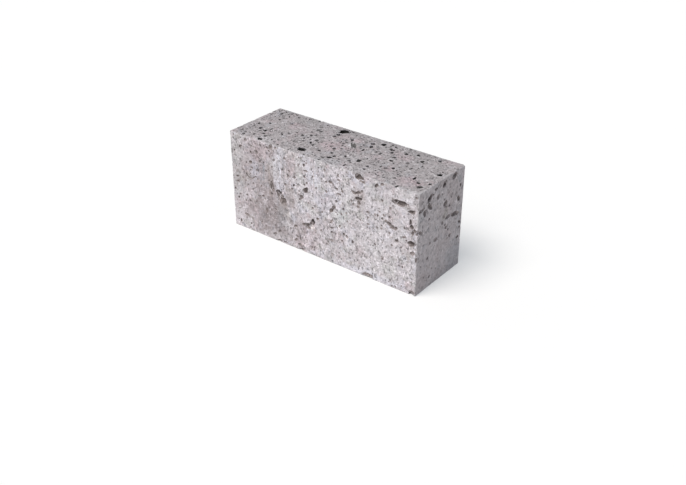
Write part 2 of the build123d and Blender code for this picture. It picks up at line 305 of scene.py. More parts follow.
# The air voids that show in the photo, and those of the hidden faces
VOIDS: dict[Face, tuple[Hollow, ...]] = {
    Face.FRONT: (
        Hollow(58.4, 51.8, 6.4, 5.0, -60, 0.6),
        Hollow(60.0, 49.6, 11.6, 6.0, -50, 0.38),
        Hollow(61.6, 46.2, 5.0, 4.4, -20, 0.26),
        Hollow(62.2, 46.2, 10.0, 6.8, -34, 0.28),
        Hollow(50.2, 55.8, 9.5, 4.2, -88, 0.3),
        Hollow(50.8, 53.2, 5.0, 3.8, -80, 0.35),
        Hollow(49.3, 48.2, 2.6, 2.8, 0, 0.4),
        Hollow(89.6, 64.2, 5.4, 4.6, 50, 0.45),
        Hollow(91.4, 66.2, 3.6, 2.8, 50, 0.4),
        Hollow(85.0, 56.0, 5.0, 3.8, 60, 0.4),
        Hollow(83.4, 53.6, 3.4, 2.2, 60, 0.3),
        Hollow(87.2, 28.9, 4.4, 2.4, 10, 0.5),
        Hollow(91.2, 29.4, 6.8, 4.0, 8, 0.5),
        Hollow(92.8, 28.0, 4.2, 4.0, 0, 0.5),
        Hollow(95.0, 32.0, 4.8, 2.6, 38, 0.55),
        Hollow(98.2, 35.0, 5.2, 4.4, 110, 0.7),
        Hollow(119.4, 54.0, 5.4, 3.2, 55, 0.45),
        Hollow(121.8, 57.2, 5.4, 3.0, 48, 0.4),
        Hollow(149.8, 95.0, 9.6, 5.4, -4, 0.45),
        Hollow(152.2, 93.2, 6.6, 4.8, -24, 0.32),
        Hollow(143.2, 79.8, 3.6, 2.2, 0, 0.5),
        Hollow(148.2, 80.0, 7.0, 2.8, 22, 0.45),
        Hollow(152.4, 82.6, 3.6, 2.0, 30, 0.4),
        Hollow(149.2, 74.6, 6.4, 3.0, 6, 0.85),
        Hollow(149.4, 70.6, 3.2, 4.2, 0, 0.3),
        Hollow(148.4, 66.8, 3.0, 2.6, 0, 0.35),
        Hollow(187.0, 84.2, 5.6, 4.0, 14, 0.6),
        Hollow(191.6, 84.6, 14.0, 5.2, 1, 0.42),
        Hollow(195.4, 84.4, 5.2, 3.8, -6, 0.42),
        Hollow(181.4, 61.2, 5.0, 3.4, -45, 0.5),
        Hollow(184.0, 59.4, 5.6, 4.0, -20, 0.35),
        Hollow(187.4, 59.2, 4.8, 3.2, 25, 0.4),
        Hollow(181.6, 68.0, 3.0, 2.2, 0, 0.5),
        Hollow(203.6, 79.6, 6.4, 3.2, 8, 0.55),
        Hollow(205.8, 81.0, 3.2, 2.2, 0, 0.3),
        Hollow(203.0, 68.6, 8.0, 2.8, -80, 0.65),
        Hollow(203.8, 65.4, 4.2, 3.6, -40, 0.75),
        Hollow(206.4, 63.4, 5.6, 3.2, -28, 0.7),
        Hollow(205.0, 60.4, 4.6, 2.6, 75, 0.5),
        Hollow(207.2, 94.0, 3.0, 2.2, 0, 0.4),
        Hollow(160.4, 2.8, 11.0, 3.4, 2, 0.18),
        Hollow(206.2, 2.8, 5.4, 3.2, 0, 0.4),
        Hollow(204.6, 49.8, 8.2, 5.2, 10, 0.45),
        Hollow(206.2, 50.2, 4.6, 3.4, 0, 0.5),
        Hollow(205.6, 41.6, 5.4, 3.6, 15, 0.2),
        Hollow(118.4, 81.2, 4.2, 2.8, 0, 0.45),
        Hollow(63.0, 76.8, 2.8, 2.4, 0),
        Hollow(66.4, 88.6, 2.6, 2.2, 0),
        Hollow(12.2, 86.0, 4.0, 2.4, 35),
        Hollow(24.2, 73.2, 3.8, 3.2, 60),
        Hollow(32.0, 85.2, 3.8, 3.2, -30),
        Hollow(35.8, 76.8, 2.8, 2.4, 30),
        Hollow(50.0, 95.4, 5.0, 4.0, 60, 0.25),
        Hollow(77.6, 73.4, 2.6, 2.2, 0, 0.5),
        Hollow(74.2, 61.0, 3.0, 1.8, 30),
        Hollow(102.2, 70.2, 2.6, 2.0, 0),
        Hollow(90.4, 83.6, 4.6, 1.8, 5),
        Hollow(21.4, 32.2, 2.8, 2.4, 0),
        Hollow(8.4, 35.4, 2.4, 2.0, 0),
        Hollow(2.4, 39.6, 2.6, 3.0, 0),
        Hollow(6.4, 48.4, 5.2, 2.0, 15, 0.35),
        Hollow(42.4, 28.6, 5.6, 3.0, 78, 0.35),
        Hollow(34.5, 41.0, 3.0, 2.0, 20, 0.35),
        Hollow(38.5, 42.4, 3.4, 2.2, 30, 0.35),
        Hollow(40.5, 39.6, 2.6, 1.8, 0, 0.35),
        Hollow(35.1, 13.4, 3.2, 2.4, 50, 0.35),
        Hollow(57.3, 11.5, 4.0, 2.2, 40, 0.4),
        Hollow(51.5, 6.9, 4.4, 2.0, 25, 0.4),
        Hollow(77.5, 9.4, 5.0, 2.6, 30, 0.35),
        Hollow(81.5, 5.6, 3.6, 2.4, 0, 0.35),
        Hollow(57.2, 1.8, 5.4, 1.6, 8, 0.7),
        Hollow(64.2, 2.0, 4.6, 1.6, 8, 0.6),
        Hollow(84.0, 1.9, 6.4, 1.7, 6, 0.8),
        Hollow(16.2, 15.6, 6.0, 3.0, 0, 0.2),
        Hollow(7.8, 6.6, 3.4, 2.6, 90, 0.35),
        Hollow(21.2, 7.4, 3.2, 2.0, 30, 0.35),
        Hollow(6.5, 53.7, 3.6, 2.2, 15, 0.4),
        Hollow(77.4, 23.8, 3.4, 2.6, 30),
        Hollow(103.6, 40.0, 3.6, 2.0, 35),
        Hollow(108.6, 48.8, 2.8, 2.0, 40, 0.25),
        Hollow(189.2, 48.0, 3.6, 2.4, 10, 0.5),
        Hollow(196.2, 53.6, 3.6, 1.8, 10, 0.5),
        Hollow(159.2, 53.6, 2.4, 2.0, 0),
        Hollow(167.0, 36.4, 2.8, 2.2, 0),
        Hollow(167.6, 93.0, 4.4, 2.8, 50, 0.45),
        Hollow(173.2, 95.8, 4.0, 2.4, 20, 0.4),
        Hollow(173.6, 81.0, 2.6, 2.2, 0),
        Hollow(125.4, 76.6, 3.2, 2.4, 30),
        Hollow(127.8, 72.4, 4.6, 1.8, 8),
        Hollow(125.0, 64.6, 2.8, 2.4, 0),
        Hollow(119.6, 43.0, 4.2, 2.2, 55, 0.3),
        Hollow(119.6, 32.0, 2.8, 2.2, 10, 0.7),
        Hollow(119.8, 36.6, 4.6, 1.8, 15),
        Hollow(118.4, 23.8, 4.8, 1.8, 8, 0.3),
        Hollow(131.4, 27.4, 2.6, 2.2, 0),
        Hollow(142.8, 30.2, 2.4, 3.2, 0),
        Hollow(70.2, 72.2, 2.8, 2.6, 0),
        Hollow(18.6, 58.6, 4.6, 1.8, -55, 0.35),
        Hollow(23.0, 56.4, 5.4, 1.8, -5, 0.35),
        Hollow(27.4, 58.0, 3.6, 1.6, 40, 0.35),
    ),
    Face.TOP: (
        Hollow(79.4, 9.2, 7.6, 7.6, 10, 1.0),
        Hollow(86.4, 63.8, 12.4, 7.4, 38, 0.6),
        Hollow(85.2, 54.8, 5.0, 4.0, 75, 0.8),
        Hollow(84.2, 49.4, 4.2, 3.2, 80, 0.7),
        Hollow(130.4, 62.0, 6.0, 4.6, 105, 1.0),
        Hollow(121.6, 57.6, 5.6, 4.4, 120, 0.8),
        Hollow(124.2, 51.2, 5.0, 3.6, 110, 0.7),
        Hollow(142.7, 57.6, 5.2, 4.2, 110, 1.0),
        Hollow(146.3, 52.2, 3.8, 2.4, 120, 0.8),
        Hollow(102.0, 52.8, 4.6, 3.4, 110, 0.9),
        Hollow(203.3, 40.4, 4.8, 4.8, 0, 1.1),
        Hollow(110.5, 42.8, 11.0, 4.6, -50, 0.18),
        Hollow(112.4, 39.4, 3.0, 2.6, 0, 0.6),
        Hollow(25.0, 21.0, 5.0, 4.0, 130, 0.8),
        Hollow(18.0, 22.4, 4.0, 3.2, 120, 0.9),
        Hollow(34.0, 11.5, 3.6, 3.2, 110, 1.0),
        Hollow(29.0, 14.4, 3.4, 3.0, 0, 0.7),
        Hollow(34.3, 3.6, 5.2, 4.2, -30, 1.2),
        Hollow(14.6, 3.6, 3.2, 3.4, 20, 0.9),
        Hollow(13.0, 7.5, 3.0, 3.0, 0, 0.7),
        Hollow(133.2, 21.6, 5.8, 3.8, 100, 0.6),
        Hollow(146.0, 17.0, 3.6, 3.6, 0, 1.0),
        Hollow(146.4, 11.2, 3.6, 3.8, 0, 0.8),
        Hollow(118.6, 21.4, 3.4, 3.4, 30, 0.9),
        Hollow(92.8, 17.0, 3.6, 3.4, 30, 0.9),
        Hollow(110.4, 15.6, 3.4, 3.4, 30, 0.7),
        Hollow(104.5, 20.0, 3.0, 3.6, 35, 0.6),
        Hollow(76.0, 25.2, 2.2, 4.6, 30, 0.7),
        Hollow(106.6, 32.2, 3.0, 3.4, 30, 0.6),
        Hollow(100.4, 28.4, 3.2, 3.6, 0, 0.5),
        Hollow(155.0, 38.6, 3.6, 3.6, 20, 0.9),
        Hollow(153.2, 45.2, 3.2, 3.4, -30, 0.9),
        Hollow(157.8, 57.6, 3.6, 3.8, 20, 0.7),
        Hollow(177.4, 52.8, 3.2, 3.6, 20, 0.7),
        Hollow(189.0, 63.4, 3.2, 3.8, 20, 0.9),
        Hollow(202.4, 11.8, 5.4, 4.4, 70, 0.3),
        Hollow(197.4, 17.2, 3.2, 3.4, 30, 0.9),
        Hollow(190.2, 22.0, 2.6, 5.6, 15, 0.6),
        Hollow(206.2, 21.4, 2.8, 3.6, 20, 0.6),
        Hollow(165.2, 27.0, 2.8, 3.6, 20, 0.7),
        Hollow(48.0, 28.7, 3.6, 3.2, -30, 0.9),
        Hollow(66.8, 37.6, 3.4, 2.6, -20, 0.7),
        Hollow(59.8, 33.4, 3.4, 2.8, -40, 0.7),
        Hollow(17.2, 36.6, 4.2, 3.0, -40, 0.8),
        Hollow(10.2, 29.0, 3.2, 2.8, 0, 0.8),
        Hollow(30.5, 63.2, 3.2, 2.6, 0, 0.8),
        Hollow(167.5, 61.8, 3.2, 3.8, 20, 0.7),
        Hollow(34.6, 47.8, 2.8, 4.0, 35, 0.7),
        Hollow(108.5, 10.8, 4.6, 3.6, 30, 0.4),
        Hollow(104.0, 7.8, 3.4, 3.0, 0, 0.4),
        Hollow(176.4, 12.6, 3.6, 3.0, 0, 0.4),
        Hollow(41.5, 66.2, 3.2, 2.6, 0, 0.6),
        Hollow(22.0, 58.7, 3.6, 1.6, -55, 0.6),
        Hollow(19.4, 52.8, 2.6, 2.0, 0, 0.6),
        Hollow(30.2, 22.6, 2.8, 1.8, -55, 0.6),
        Hollow(22.6, 8.6, 3.4, 2.0, -60, 0.6),
        Hollow(17.2, 9.2, 2.6, 2.2, 0, 0.6),
        Hollow(53.6, 30.4, 2.2, 1.8, 0, 0.6),
        Hollow(52.3, 34.5, 2.4, 1.8, 0, 0.5),
        Hollow(79.2, 40.4, 2.6, 2.2, 0, 0.6),
        Hollow(82.0, 33.4, 2.4, 2.0, 0, 0.6),
        Hollow(89.3, 32.6, 2.2, 1.8, 0, 0.6),
        Hollow(101.3, 45.2, 3.4, 2.6, 0, 0.3),
        Hollow(122.8, 41.0, 4.6, 1.8, -75, 0.6),
        Hollow(155.3, 14.5, 3.0, 2.4, -70, 0.6),
        Hollow(160.2, 9.1, 3.0, 2.2, -60, 0.7),
        Hollow(163.8, 17.2, 2.6, 1.8, -60, 0.6),
        Hollow(182.6, 45.0, 2.2, 2.0, 0, 0.6),
        Hollow(193.2, 43.6, 2.4, 2.0, 0, 0.6),
        Hollow(172.4, 37.2, 3.2, 2.2, 40, 0.5),
        Hollow(142.7, 33.4, 2.8, 2.2, -60, 0.6),
        Hollow(136.3, 39.3, 2.4, 1.8, 0, 0.5),
        Hollow(145.4, 25.3, 2.4, 1.8, 0, 0.5),
        Hollow(168.0, 22.6, 2.4, 1.8, 0, 0.5),
        Hollow(167.0, 52.8, 2.2, 1.8, 0, 0.6),
        Hollow(157.3, 43.6, 2.2, 2.0, 0, 0.6),
        Hollow(198.2, 59.2, 2.2, 1.8, 0, 0.5),
        Hollow(160.0, 68.0, 2.2, 1.8, 0, 0.6),
        Hollow(181.0, 68.0, 2.2, 1.8, 0, 0.6),
        Hollow(196.6, 2.6, 2.4, 2.0, 0, 0.6),
        Hollow(112.0, 55.0, 2.4, 2.0, 0, 0.6),
        Hollow(202.6, 46.3, 2.8, 1.8, -60, 0.6),
        Hollow(12.0, 65.7, 2.8, 1.8, -50, 0.6),
        Hollow(25.3, 66.6, 2.6, 2.0, 0, 0.6),
        Hollow(7.0, 49.0, 2.4, 1.8, 0, 0.6),
        Hollow(10.8, 45.2, 2.2, 1.8, 0, 0.6),
        Hollow(31.3, 41.0, 2.6, 1.8, -45, 0.6),
        Hollow(160.5, 61.4, 2.2, 1.8, 0, 0.6),
        Hollow(142.9, 44.7, 2.4, 1.8, 0, 0.5),
        Hollow(160.0, 35.0, 2.6, 1.8, -60, 0.5),
        Hollow(78.7, 56.0, 2.4, 2.0, 0, 0.5),
        Hollow(65.2, 18.3, 3.4, 2.6, 0, 0.25),
    ),
    Face.RIGHT_END: (
        Hollow(17.0, 88.0, 8.5, 5.4, 20),
        Hollow(16.8, 80.2, 8.5, 4.0, -50),
        Hollow(9.8, 76.7, 5.6, 4.8, 70),
        Hollow(2.6, 81.0, 4.4, 3.0, 0),
        Hollow(6.4, 81.6, 4.8, 2.0, 15),
        Hollow(38.5, 92.0, 6.0, 5.0, 100),
        Hollow(53.6, 94.4, 7.0, 5.0, 10, 0.45),
        Hollow(29.2, 84.0, 5.0, 4.2, 40, 0.3),
        Hollow(41.0, 72.5, 7.0, 4.8, 45, 0.32),
        Hollow(57.5, 56.2, 12.0, 4.4, -15),
        Hollow(46.4, 58.0, 7.0, 3.8, 5),
        Hollow(62.6, 69.2, 5.6, 4.2, -60, 0.35),
        Hollow(66.2, 44.8, 3.8, 2.8, -40),
        Hollow(28.6, 43.6, 4.8, 3.4, -10, 0.25),
        Hollow(4.6, 60.2, 7.6, 3.0, -32),
        Hollow(51.5, 37.5, 3.8, 3.2, 0),
        Hollow(17.0, 30.5, 4.2, 3.0, 0),
        Hollow(64.6, 30.0, 4.0, 3.0, 0),
        Hollow(48.0, 68.0, 3.2, 2.8, 0),
        Hollow(17.0, 68.0, 3.2, 2.8, 0),
        Hollow(44.0, 48.5, 4.0, 3.0, -20),
        Hollow(38.0, 55.5, 3.6, 2.6, -40),
        Hollow(64.6, 81.2, 3.0, 3.4, 0),
        Hollow(25.0, 93.0, 4.0, 3.0, 0),
    ),
    Face.BACK: (
        Hollow(23.0, 60.8, 9.0, 4.6, 30),
        Hollow(48.7, 86.2, 6.5, 4.4, -20),
        Hollow(66.8, 34.3, 11.0, 4.6, -55),
        Hollow(98.7, 70.6, 6.0, 5.0, 80),
        Hollow(112.6, 49.0, 8.5, 3.6, 15),
        Hollow(138.6, 23.5, 7.0, 4.4, -35),
        Hollow(155.8, 79.4, 10.0, 4.8, 10),
        Hollow(185.6, 54.9, 6.6, 5.0, -70),
        Hollow(195.3, 29.4, 5.6, 4.2, 45),
        Hollow(28.0, 63.4, 4.6, 3.0, 20, 0.35),
        Hollow(69.8, 29.4, 5.0, 3.6, -30, 0.3),
        Hollow(63.4, 39.4, 3.4, 2.6, 0),
        Hollow(118.2, 50.8, 4.4, 2.6, 30),
        Hollow(149.4, 78.0, 4.4, 3.2, 0, 0.45),
        Hollow(161.8, 80.8, 3.6, 2.6, 0),
        Hollow(187.4, 49.6, 3.8, 2.8, -60, 0.45),
        Hollow(142.8, 20.6, 3.6, 2.8, 0),
        Hollow(100.4, 65.8, 3.2, 2.6, 0),
        Hollow(204.2, 76.4, 5.4, 2.8, -70, 0.5),
        Hollow(205.8, 69.6, 3.6, 2.6, -80, 0.5),
        Hollow(80.4, 88.2, 3.6, 2.6, 0),
        Hollow(52.2, 50.4, 3.4, 2.2, 30),
        Hollow(30.4, 18.2, 3.6, 2.4, 40),
        Hollow(172.6, 19.4, 3.8, 2.6, -30),
        Hollow(88.0, 12.6, 4.2, 2.2, 15),
    ),
    Face.LEFT_END: (
        Hollow(14.0, 71.5, 7.0, 4.6, -40),
        Hollow(31.5, 88.2, 6.0, 4.6, 15),
        Hollow(44.8, 59.8, 9.5, 4.2, 70),
        Hollow(57.4, 80.4, 5.6, 4.8, 0),
        Hollow(23.8, 37.2, 6.4, 4.0, -15),
        Hollow(54.6, 24.5, 5.4, 4.2, 55),
        Hollow(17.6, 67.6, 4.2, 2.8, -40),
        Hollow(46.8, 66.2, 4.4, 2.8, 70),
        Hollow(61.2, 83.0, 3.6, 2.4, 30),
        Hollow(28.8, 35.8, 3.8, 2.6, -10, 0.3),
        Hollow(7.4, 46.2, 4.4, 2.4, 60),
        Hollow(38.0, 74.6, 3.2, 2.6, 0),
        Hollow(64.8, 50.2, 3.4, 2.2, -40),
    ),
    Face.BED: (
        Hollow(18.9, 21.0, 6.6, 5.0, 25),
        Hollow(45.2, 49.0, 8.0, 5.2, -60),
        Hollow(76.0, 30.8, 5.8, 4.4, 110),
        Hollow(102.9, 56.7, 7.2, 4.6, 5),
        Hollow(129.2, 18.2, 9.0, 5.0, -30),
        Hollow(159.2, 44.8, 5.6, 4.6, 80),
        Hollow(190.1, 29.4, 6.8, 4.8, -10),
    ),
}

# The places where an arris has broken away
CHIPS: dict[Arris, tuple[Chip, ...]] = {
    Arris.FRONT_BOTTOM: (
        Chip(55.7, 5.0, 2.2),
        Chip(83.0, 8.0, 2.6),
        Chip(160.0, 10.0, 3.6, 0.3),
        Chip(206.0, 6.4, 3.4),
    ),
    Arris.FRONT_RIGHT: (
        Chip(61.9, 6.0, 4.0),
        Chip(35.8, 5.0, 3.2),
    ),
    Arris.BACK_BOTTOM: (
        Chip(159.6, 9.0, 4.6),
        Chip(65.1, 6.0, 4.0),
    ),
}


@dataclass(frozen=True)
class TornRim:
    """Small lobes round the rim of a large, shallow air void, which tear its round outline."""

    from_length: float = 4.5
    to_depth: float = 0.7
    count: int = 2
    smallest: float = 0.3
    largest: float = 0.5
    longest: float = 1.7
    reach: float = 0.4
    depth: float = 0.8

    def lobes(self, hollow: Hollow, rng: random.Random) -> list[Hollow]:
        """The lobes of an air void: none for a small or deep one.

        Args:
            hollow: The air void.
            rng: The source of chance.

        Returns:
            The lobes, as air voids of their own.
        """
        if hollow.length < self.from_length or hollow.depth > self.to_depth:
            return []
        found: list[Hollow] = []
        turned = Matrix.Rotation(math.radians(hollow.turn), 2)
        for _ in range(self.count):
            way = rng.uniform(0, 2 * math.pi)
            offset = Vector((hollow.length * math.cos(way), hollow.width * math.sin(way)))
            u, v = Vector((hollow.u, hollow.v)) + self.reach * (turned @ offset)
            width = hollow.width * rng.uniform(self.smallest, self.largest)
            length = width * rng.uniform(1.0, self.longest)
            found.append(Hollow(u, v, length, width, rng.uniform(0, 180), self.depth * hollow.depth))
        return found


@dataclass(frozen=True)
class PoreField:
    """Small pores scattered over a face, thick in some places and thin in others."""

    spacing: float
    smallest: float = 1.1
    largest: float = 2.4
    skew: float = 2.0
    shallowest: float = 0.25
    deepest: float = 0.5
    longest: float = 1.5
    lie: float = 90.0
    lie_spread: float = 90.0
    patch: float = 30.0
    usual: float = 0.5
    clump: float = 1.5
    edge: float = 1.2
    bare: tuple[Zone, ...] = ()

    def scatter(
        self, face: Face, block: Block, bubbles: list[Bubble], rng: random.Random
    ) -> list[Bubble]:
        """Scatter pores over a face, clear of the bubbles that are there.

        Args:
            face: The face that gets the pores.
            block: The block that the face belongs to.
            bubbles: The bubbles that are on the block already.
            rng: The source of chance.

        Returns:
            The bubbles of the new pores.
        """
        length, height = block.extent(face)
        pores: list[Bubble] = []
        corner = block.spot(face, 0, 0)
        near = [other for other in bubbles if abs((other.middle - corner).dot(face.out)) < other.reach]
        for _ in range(round(length * height / self.spacing**2)):
            u = rng.uniform(self.edge, length - self.edge)
            v = rng.uniform(self.edge, height - self.edge)
            width = self.smallest + (self.largest - self.smallest) * rng.random() ** self.skew
            stretch = rng.uniform(1.0, self.longest)
            turn = self.lie + rng.uniform(-self.lie_spread, self.lie_spread)
            depth = rng.uniform(self.shallowest, self.deepest)
            keep = rng.random()
            pore = block.void(face, Hollow(u, v, width * stretch, width, turn, depth))
            crowd = self.usual + self.clump * noise.noise(pore.middle / self.patch)
            crowd -= sum(zone.cover(u, v) for zone in self.bare)
            if keep < crowd and not any(pore.crowds(other) for other in near + pores):
                pores.append(pore)
        return pores


# The places of the long faces where pores are few
FRONT_BARE = (
    Zone(Face.FRONT, 156, 20, 34, 28, 0.6),
    Zone(Face.FRONT, 40, 24, 30, 26, 0.4),
    Zone(Face.FRONT, 170, 84, 14, 11, 0.6),
    Zone(Face.FRONT, 109, 45, 11, 9, 0.7),
)

BACK_BARE = (
    Zone(Face.BACK, 52, 24, 34, 26, 0.5),
    Zone(Face.BACK, 180, 74, 26, 20, 0.5),
)

# The small pores of each face
PORES: dict[Face, PoreField] = {
    Face.FRONT: PoreField(6.2, largest=2.5, bare=FRONT_BARE),
    Face.BACK: PoreField(6.6, largest=2.6, clump=2.4, bare=BACK_BARE),
    Face.RIGHT_END: PoreField(8.0, largest=2.6, shallowest=0.2, deepest=0.45),
    Face.LEFT_END: PoreField(8.0, largest=2.6, shallowest=0.2, deepest=0.45),
    Face.TOP: PoreField(
        3.0, 1.2, 2.5, shallowest=0.35, deepest=0.7, longest=2.0, lie=76.0, lie_spread=40.0, clump=1.0
    ),
    Face.BED: PoreField(7.0, largest=3.0, shallowest=0.4, deepest=0.8),
}


@dataclass(frozen=True)
class ArrisNicks:
    """Small nicks along every arris."""

    spacing: float = 15.0
    smallest: float = 0.8
    largest: float = 2.0
    skew: float = 2.6
    longest: float = 2.2

    def scatter(self, block: Block, rng: random.Random) -> list[Bubble]:
        """Scatter nicks along the arrises.

        Args:
            block: The block whose arrises are nicked.
            rng: The source of chance.

        Returns:
            The bubbles of the nicks.
        """
        nicks: list[Bubble] = []
        for arris in Arris:
            run = block.run(arris)
            for _ in range(round(run / self.spacing)):
                width = self.smallest + (self.largest - self.smallest) * rng.random() ** self.skew
                length = width * rng.uniform(1.0, self.longest)
                nicks.append(block.chip(arris, Chip(rng.uniform(0, run), length, width)))
        return nicks


class Fineness(Enum):
    """How often the ball of a bubble is divided."""

    COARSE = 2
    MIDDLING = 3
    FINE = 4


@dataclass
class BubbleCutter:
    """Makes lumpy bubbles and cuts them out of a mesh, in passes in which no two bubbles touch."""

    fullness: float = 1.12
    lump: float = 0.45
    lump_size: float = 0.9
    ripple: float = 0.5
    ripple_rate: float = 2.3
    fine_from: float = 9.0
    middling_from: float = 3.3
    tiny_edge: float = 0.005
    closings: int = 2

    def template(self, fineness: Fineness) -> tuple[np.ndarray, np.ndarray]:
        """Make a ball of radius 1.

        Args:
            fineness: How finely the ball is divided.

        Returns:
            The ball's points, and the corners of its triangles.
        """
        ball = bmesh.new()
        bmesh.ops.create_icosphere(ball, subdivisions=fineness.value, radius=1.0)
        points = np.array([point.co for point in ball.verts])
        triangles = np.array([[point.index for point in face.verts] for face in ball.faces])
        ball.free()
        return points, triangles

    def shape(self, bubble: Bubble, ball: np.ndarray) -> np.ndarray:
        """Press a ball into the lumpy shape of a bubble.

        Args:
            bubble: The bubble to make.
            ball: The points of a ball of radius 1.

        Returns:
            The bubble's points, in millimetres.
        """
        half_sizes = np.array(bubble.half_sizes)
        swell = [self.swell(Vector(point), bubble.middle) for point in ball]
        pressed = ball * np.array(swell)[:, None] * half_sizes
        return pressed @ np.array(bubble.axes).T + np.array(bubble.middle)

    def swell(self, point: Vector, seed: Vector) -> float:
        """Say how far a bubble bulges at a point of its ball.

        Args:
            point: The point, on a ball of radius 1.
            seed: Where the lumps are taken from.

        Returns:
            The bulge, about 1.
        """
        place = point / self.lump_size + seed
        ripples = self.ripple * noise.noise(place * self.ripple_rate)
        return self.fullness + self.lump * (noise.noise(place) + ripples)

    def fineness(self, bubble: Bubble) -> Fineness:
        """Choose how finely a bubble's ball is divided: more for a larger bubble.

        Args:
            bubble: The bubble.

        Returns:
            The fineness of its ball.
        """
        length = 2 * max(bubble.half_sizes)
        if length >= self.fine_from:
            return Fineness.FINE
        return Fineness.MIDDLING if length >= self.middling_from else Fineness.COARSE

    def passes(self, bubbles: list[Bubble]) -> list[list[Bubble]]:
        """Share bubbles out over passes, so that no two in a pass touch.

        Args:
            bubbles: All the bubbles.

        Returns:
            The bubbles of each pass.
        """
        shares: list[list[Bubble]] = []
        for bubble in bubbles:
            free = [share for share in shares if not any(bubble.meets(other) for other in share)]
            if free:
                free[0].append(bubble)
            else:
                shares.append([bubble])
        return shares

    def mesh(self, bubbles: list[Bubble]) -> bpy.types.Mesh:
        """Make one mesh of many bubbles.

        Args:
            bubbles: Bubbles that don't touch each other.

        Returns:
            The mesh, in metres, marked with the wall number of each bubble.
        """
        templates = {fineness: self.template(fineness) for fineness in Fineness}
        points: list[np.ndarray] = []
        triangles: list[np.ndarray] = []
        numbers: list[int] = []
        for bubble in bubbles:
            ball, corners = templates[self.fineness(bubble)]
            points.append(self.shape(bubble, ball))
            triangles.append(corners + len(numbers))
            numbers += [bubble.wall_number] * len(ball)
        mesh = bpy.data.meshes.new("bubbles")
        mesh.from_pydata(np.concatenate(points) * MM, [], np.concatenate(triangles))
        mark(mesh, WALL_NUMBER, np.array(numbers))
        return mesh

    def cut(self, piece: bpy.types.Object, bubbles: list[Bubble]) -> None:
        """Cut bubbles out of a piece.

        Args:
            piece: The mesh object to cut.
            bubbles: The bubbles to cut out of it.
        """
        for share in self.passes(bubbles):
            tool = bpy.data.objects.new("bubbles", self.mesh(share))
            bpy.context.scene.collection.objects.link(tool)
            cut = piece.modifiers.new("bubbles", "BOOLEAN")
            cut.operation = "DIFFERENCE"
            cut.solver = "MANIFOLD"
            cut.object = tool
            graph = bpy.context.evaluated_depsgraph_get()
            old = piece.data
            new = bpy.data.meshes.new_from_object(piece.evaluated_get(graph), depsgraph=graph)
            piece.modifiers.remove(cut)
            piece.data = new
            bpy.data.meshes.remove(old)
            bpy.data.meshes.remove(tool.data)
        self.close_up(piece.data)

    def close_up(self, mesh: bpy.types.Mesh) -> None:
        """Close up the tiny edges that the cuts have left in a mesh.

        Args:
            mesh: The mesh that has been cut.
        """
        cleaned = bmesh.new()
        cleaned.from_mesh(mesh)
        for _ in range(self.closings):
            bmesh.ops.dissolve_degenerate(cleaned, dist=self.tiny_edge * MM, edges=cleaned.edges)
        cleaned.to_mesh(mesh)
        cleaned.free()


def mark(mesh: bpy.types.Mesh, name: str, values: np.ndarray) -> None:
    """Keep a value on each point of a mesh.

    Args:
        mesh: The mesh.
        name: The name of the attribute.
        values: A value for each point.
    """
    attribute = mesh.attributes.get(name) or mesh.attributes.new(name, "FLOAT", "POINT")
    attribute.data.foreach_set("value", np.asarray(values, dtype=np.float32))


def numbers_of(items: Items, name: str, kind: type = np.int32) -> np.ndarray:
    """Read one number of every item of a mesh.

    Args:
        items: The points, corners or faces of the mesh.
        name: The name of the number.
        kind: The kind of the number.

    Returns:
        A number for each item.
    """
    numbers = np.empty(len(items), dtype=kind)
    items.foreach_get(name, numbers)
    return numbers


def vectors_of(items: Items, name: str) -> np.ndarray:
    """Read one vector of every item of a mesh.

    Args:
        items: The points or faces of the mesh.
        name: The name of the vector.

    Returns:
        A row for each item.
    """
    flat = np.empty(3 * len(items))
    items.foreach_get(name, flat)
    return flat.reshape(-1, 3)


@dataclass(frozen=True)
class ArrisWear:
    """How far the arrises are worn round, in millimetres."""

    sharpest: float = 0.2
    roundest: float = 0.7
    wander: float = 24.0
    rag: float = 0.25
    rag_size: float = 3.0
    worn_start: float = 12.0
    worn_run: float = 90.0
    worn_extra: float = 3.2
    worn_reach: float = 6.0

    def radius(self, point: Vector, block: Block) -> float:
        """The radius of the arris nearest to a point.

        Args:
            point: A point of the block's surface.
            block: The block.

        Returns:
            The radius, in millimetres.
        """
        slow = 0.5 + 0.5 * noise.noise(point / self.wander)
        quick = self.rag * noise.noise(point / self.rag_size)
        radius = self.sharpest + (self.roundest - self.sharpest) * slow + quick
        front_top = point - block.corner(Vector((-1, -1, 1)))
        on_worn_arris = math.hypot(front_top.y, front_top.z) < self.worn_reach
        if on_worn_arris:
            rise = min(1.0, front_top.x / self.worn_start)
            radius += self.worn_extra * rise * max(0.0, 1 - front_top.x / self.worn_run)
        return max(radius, self.sharpest)


@dataclass(frozen=True)
class SkinRelief:
    """The unevenness of the moulded skin, in millimetres below the block's box."""

    wave: float = 0.22
    wave_size: float = 15.0
    grit: float = 0.20
    grit_size: float = 2.7
    drag: float = 0.16
    drag_width: float = 3.2
    drag_length: float = 40.0

    def depth(self, point: Vector, out: Vector) -> float:
        """How far the skin lies below the box at a point.

        Args:
            point: A point of the block's surface.
            out: The way out of the surface there.

        Returns:
            The depth, in millimetres.
        """
        wave = self.wave * noise.noise(point / self.wave_size)
        grit = self.grit * noise.noise(point / self.grit_size)
        drawn = Vector((point.x / self.drag_width, point.y / self.drag_width, point.z / self.drag_length))
        drag = self.drag * noise.noise(drawn) * (1 - abs(out.z))
        return max(0.0, wave + grit + drag)


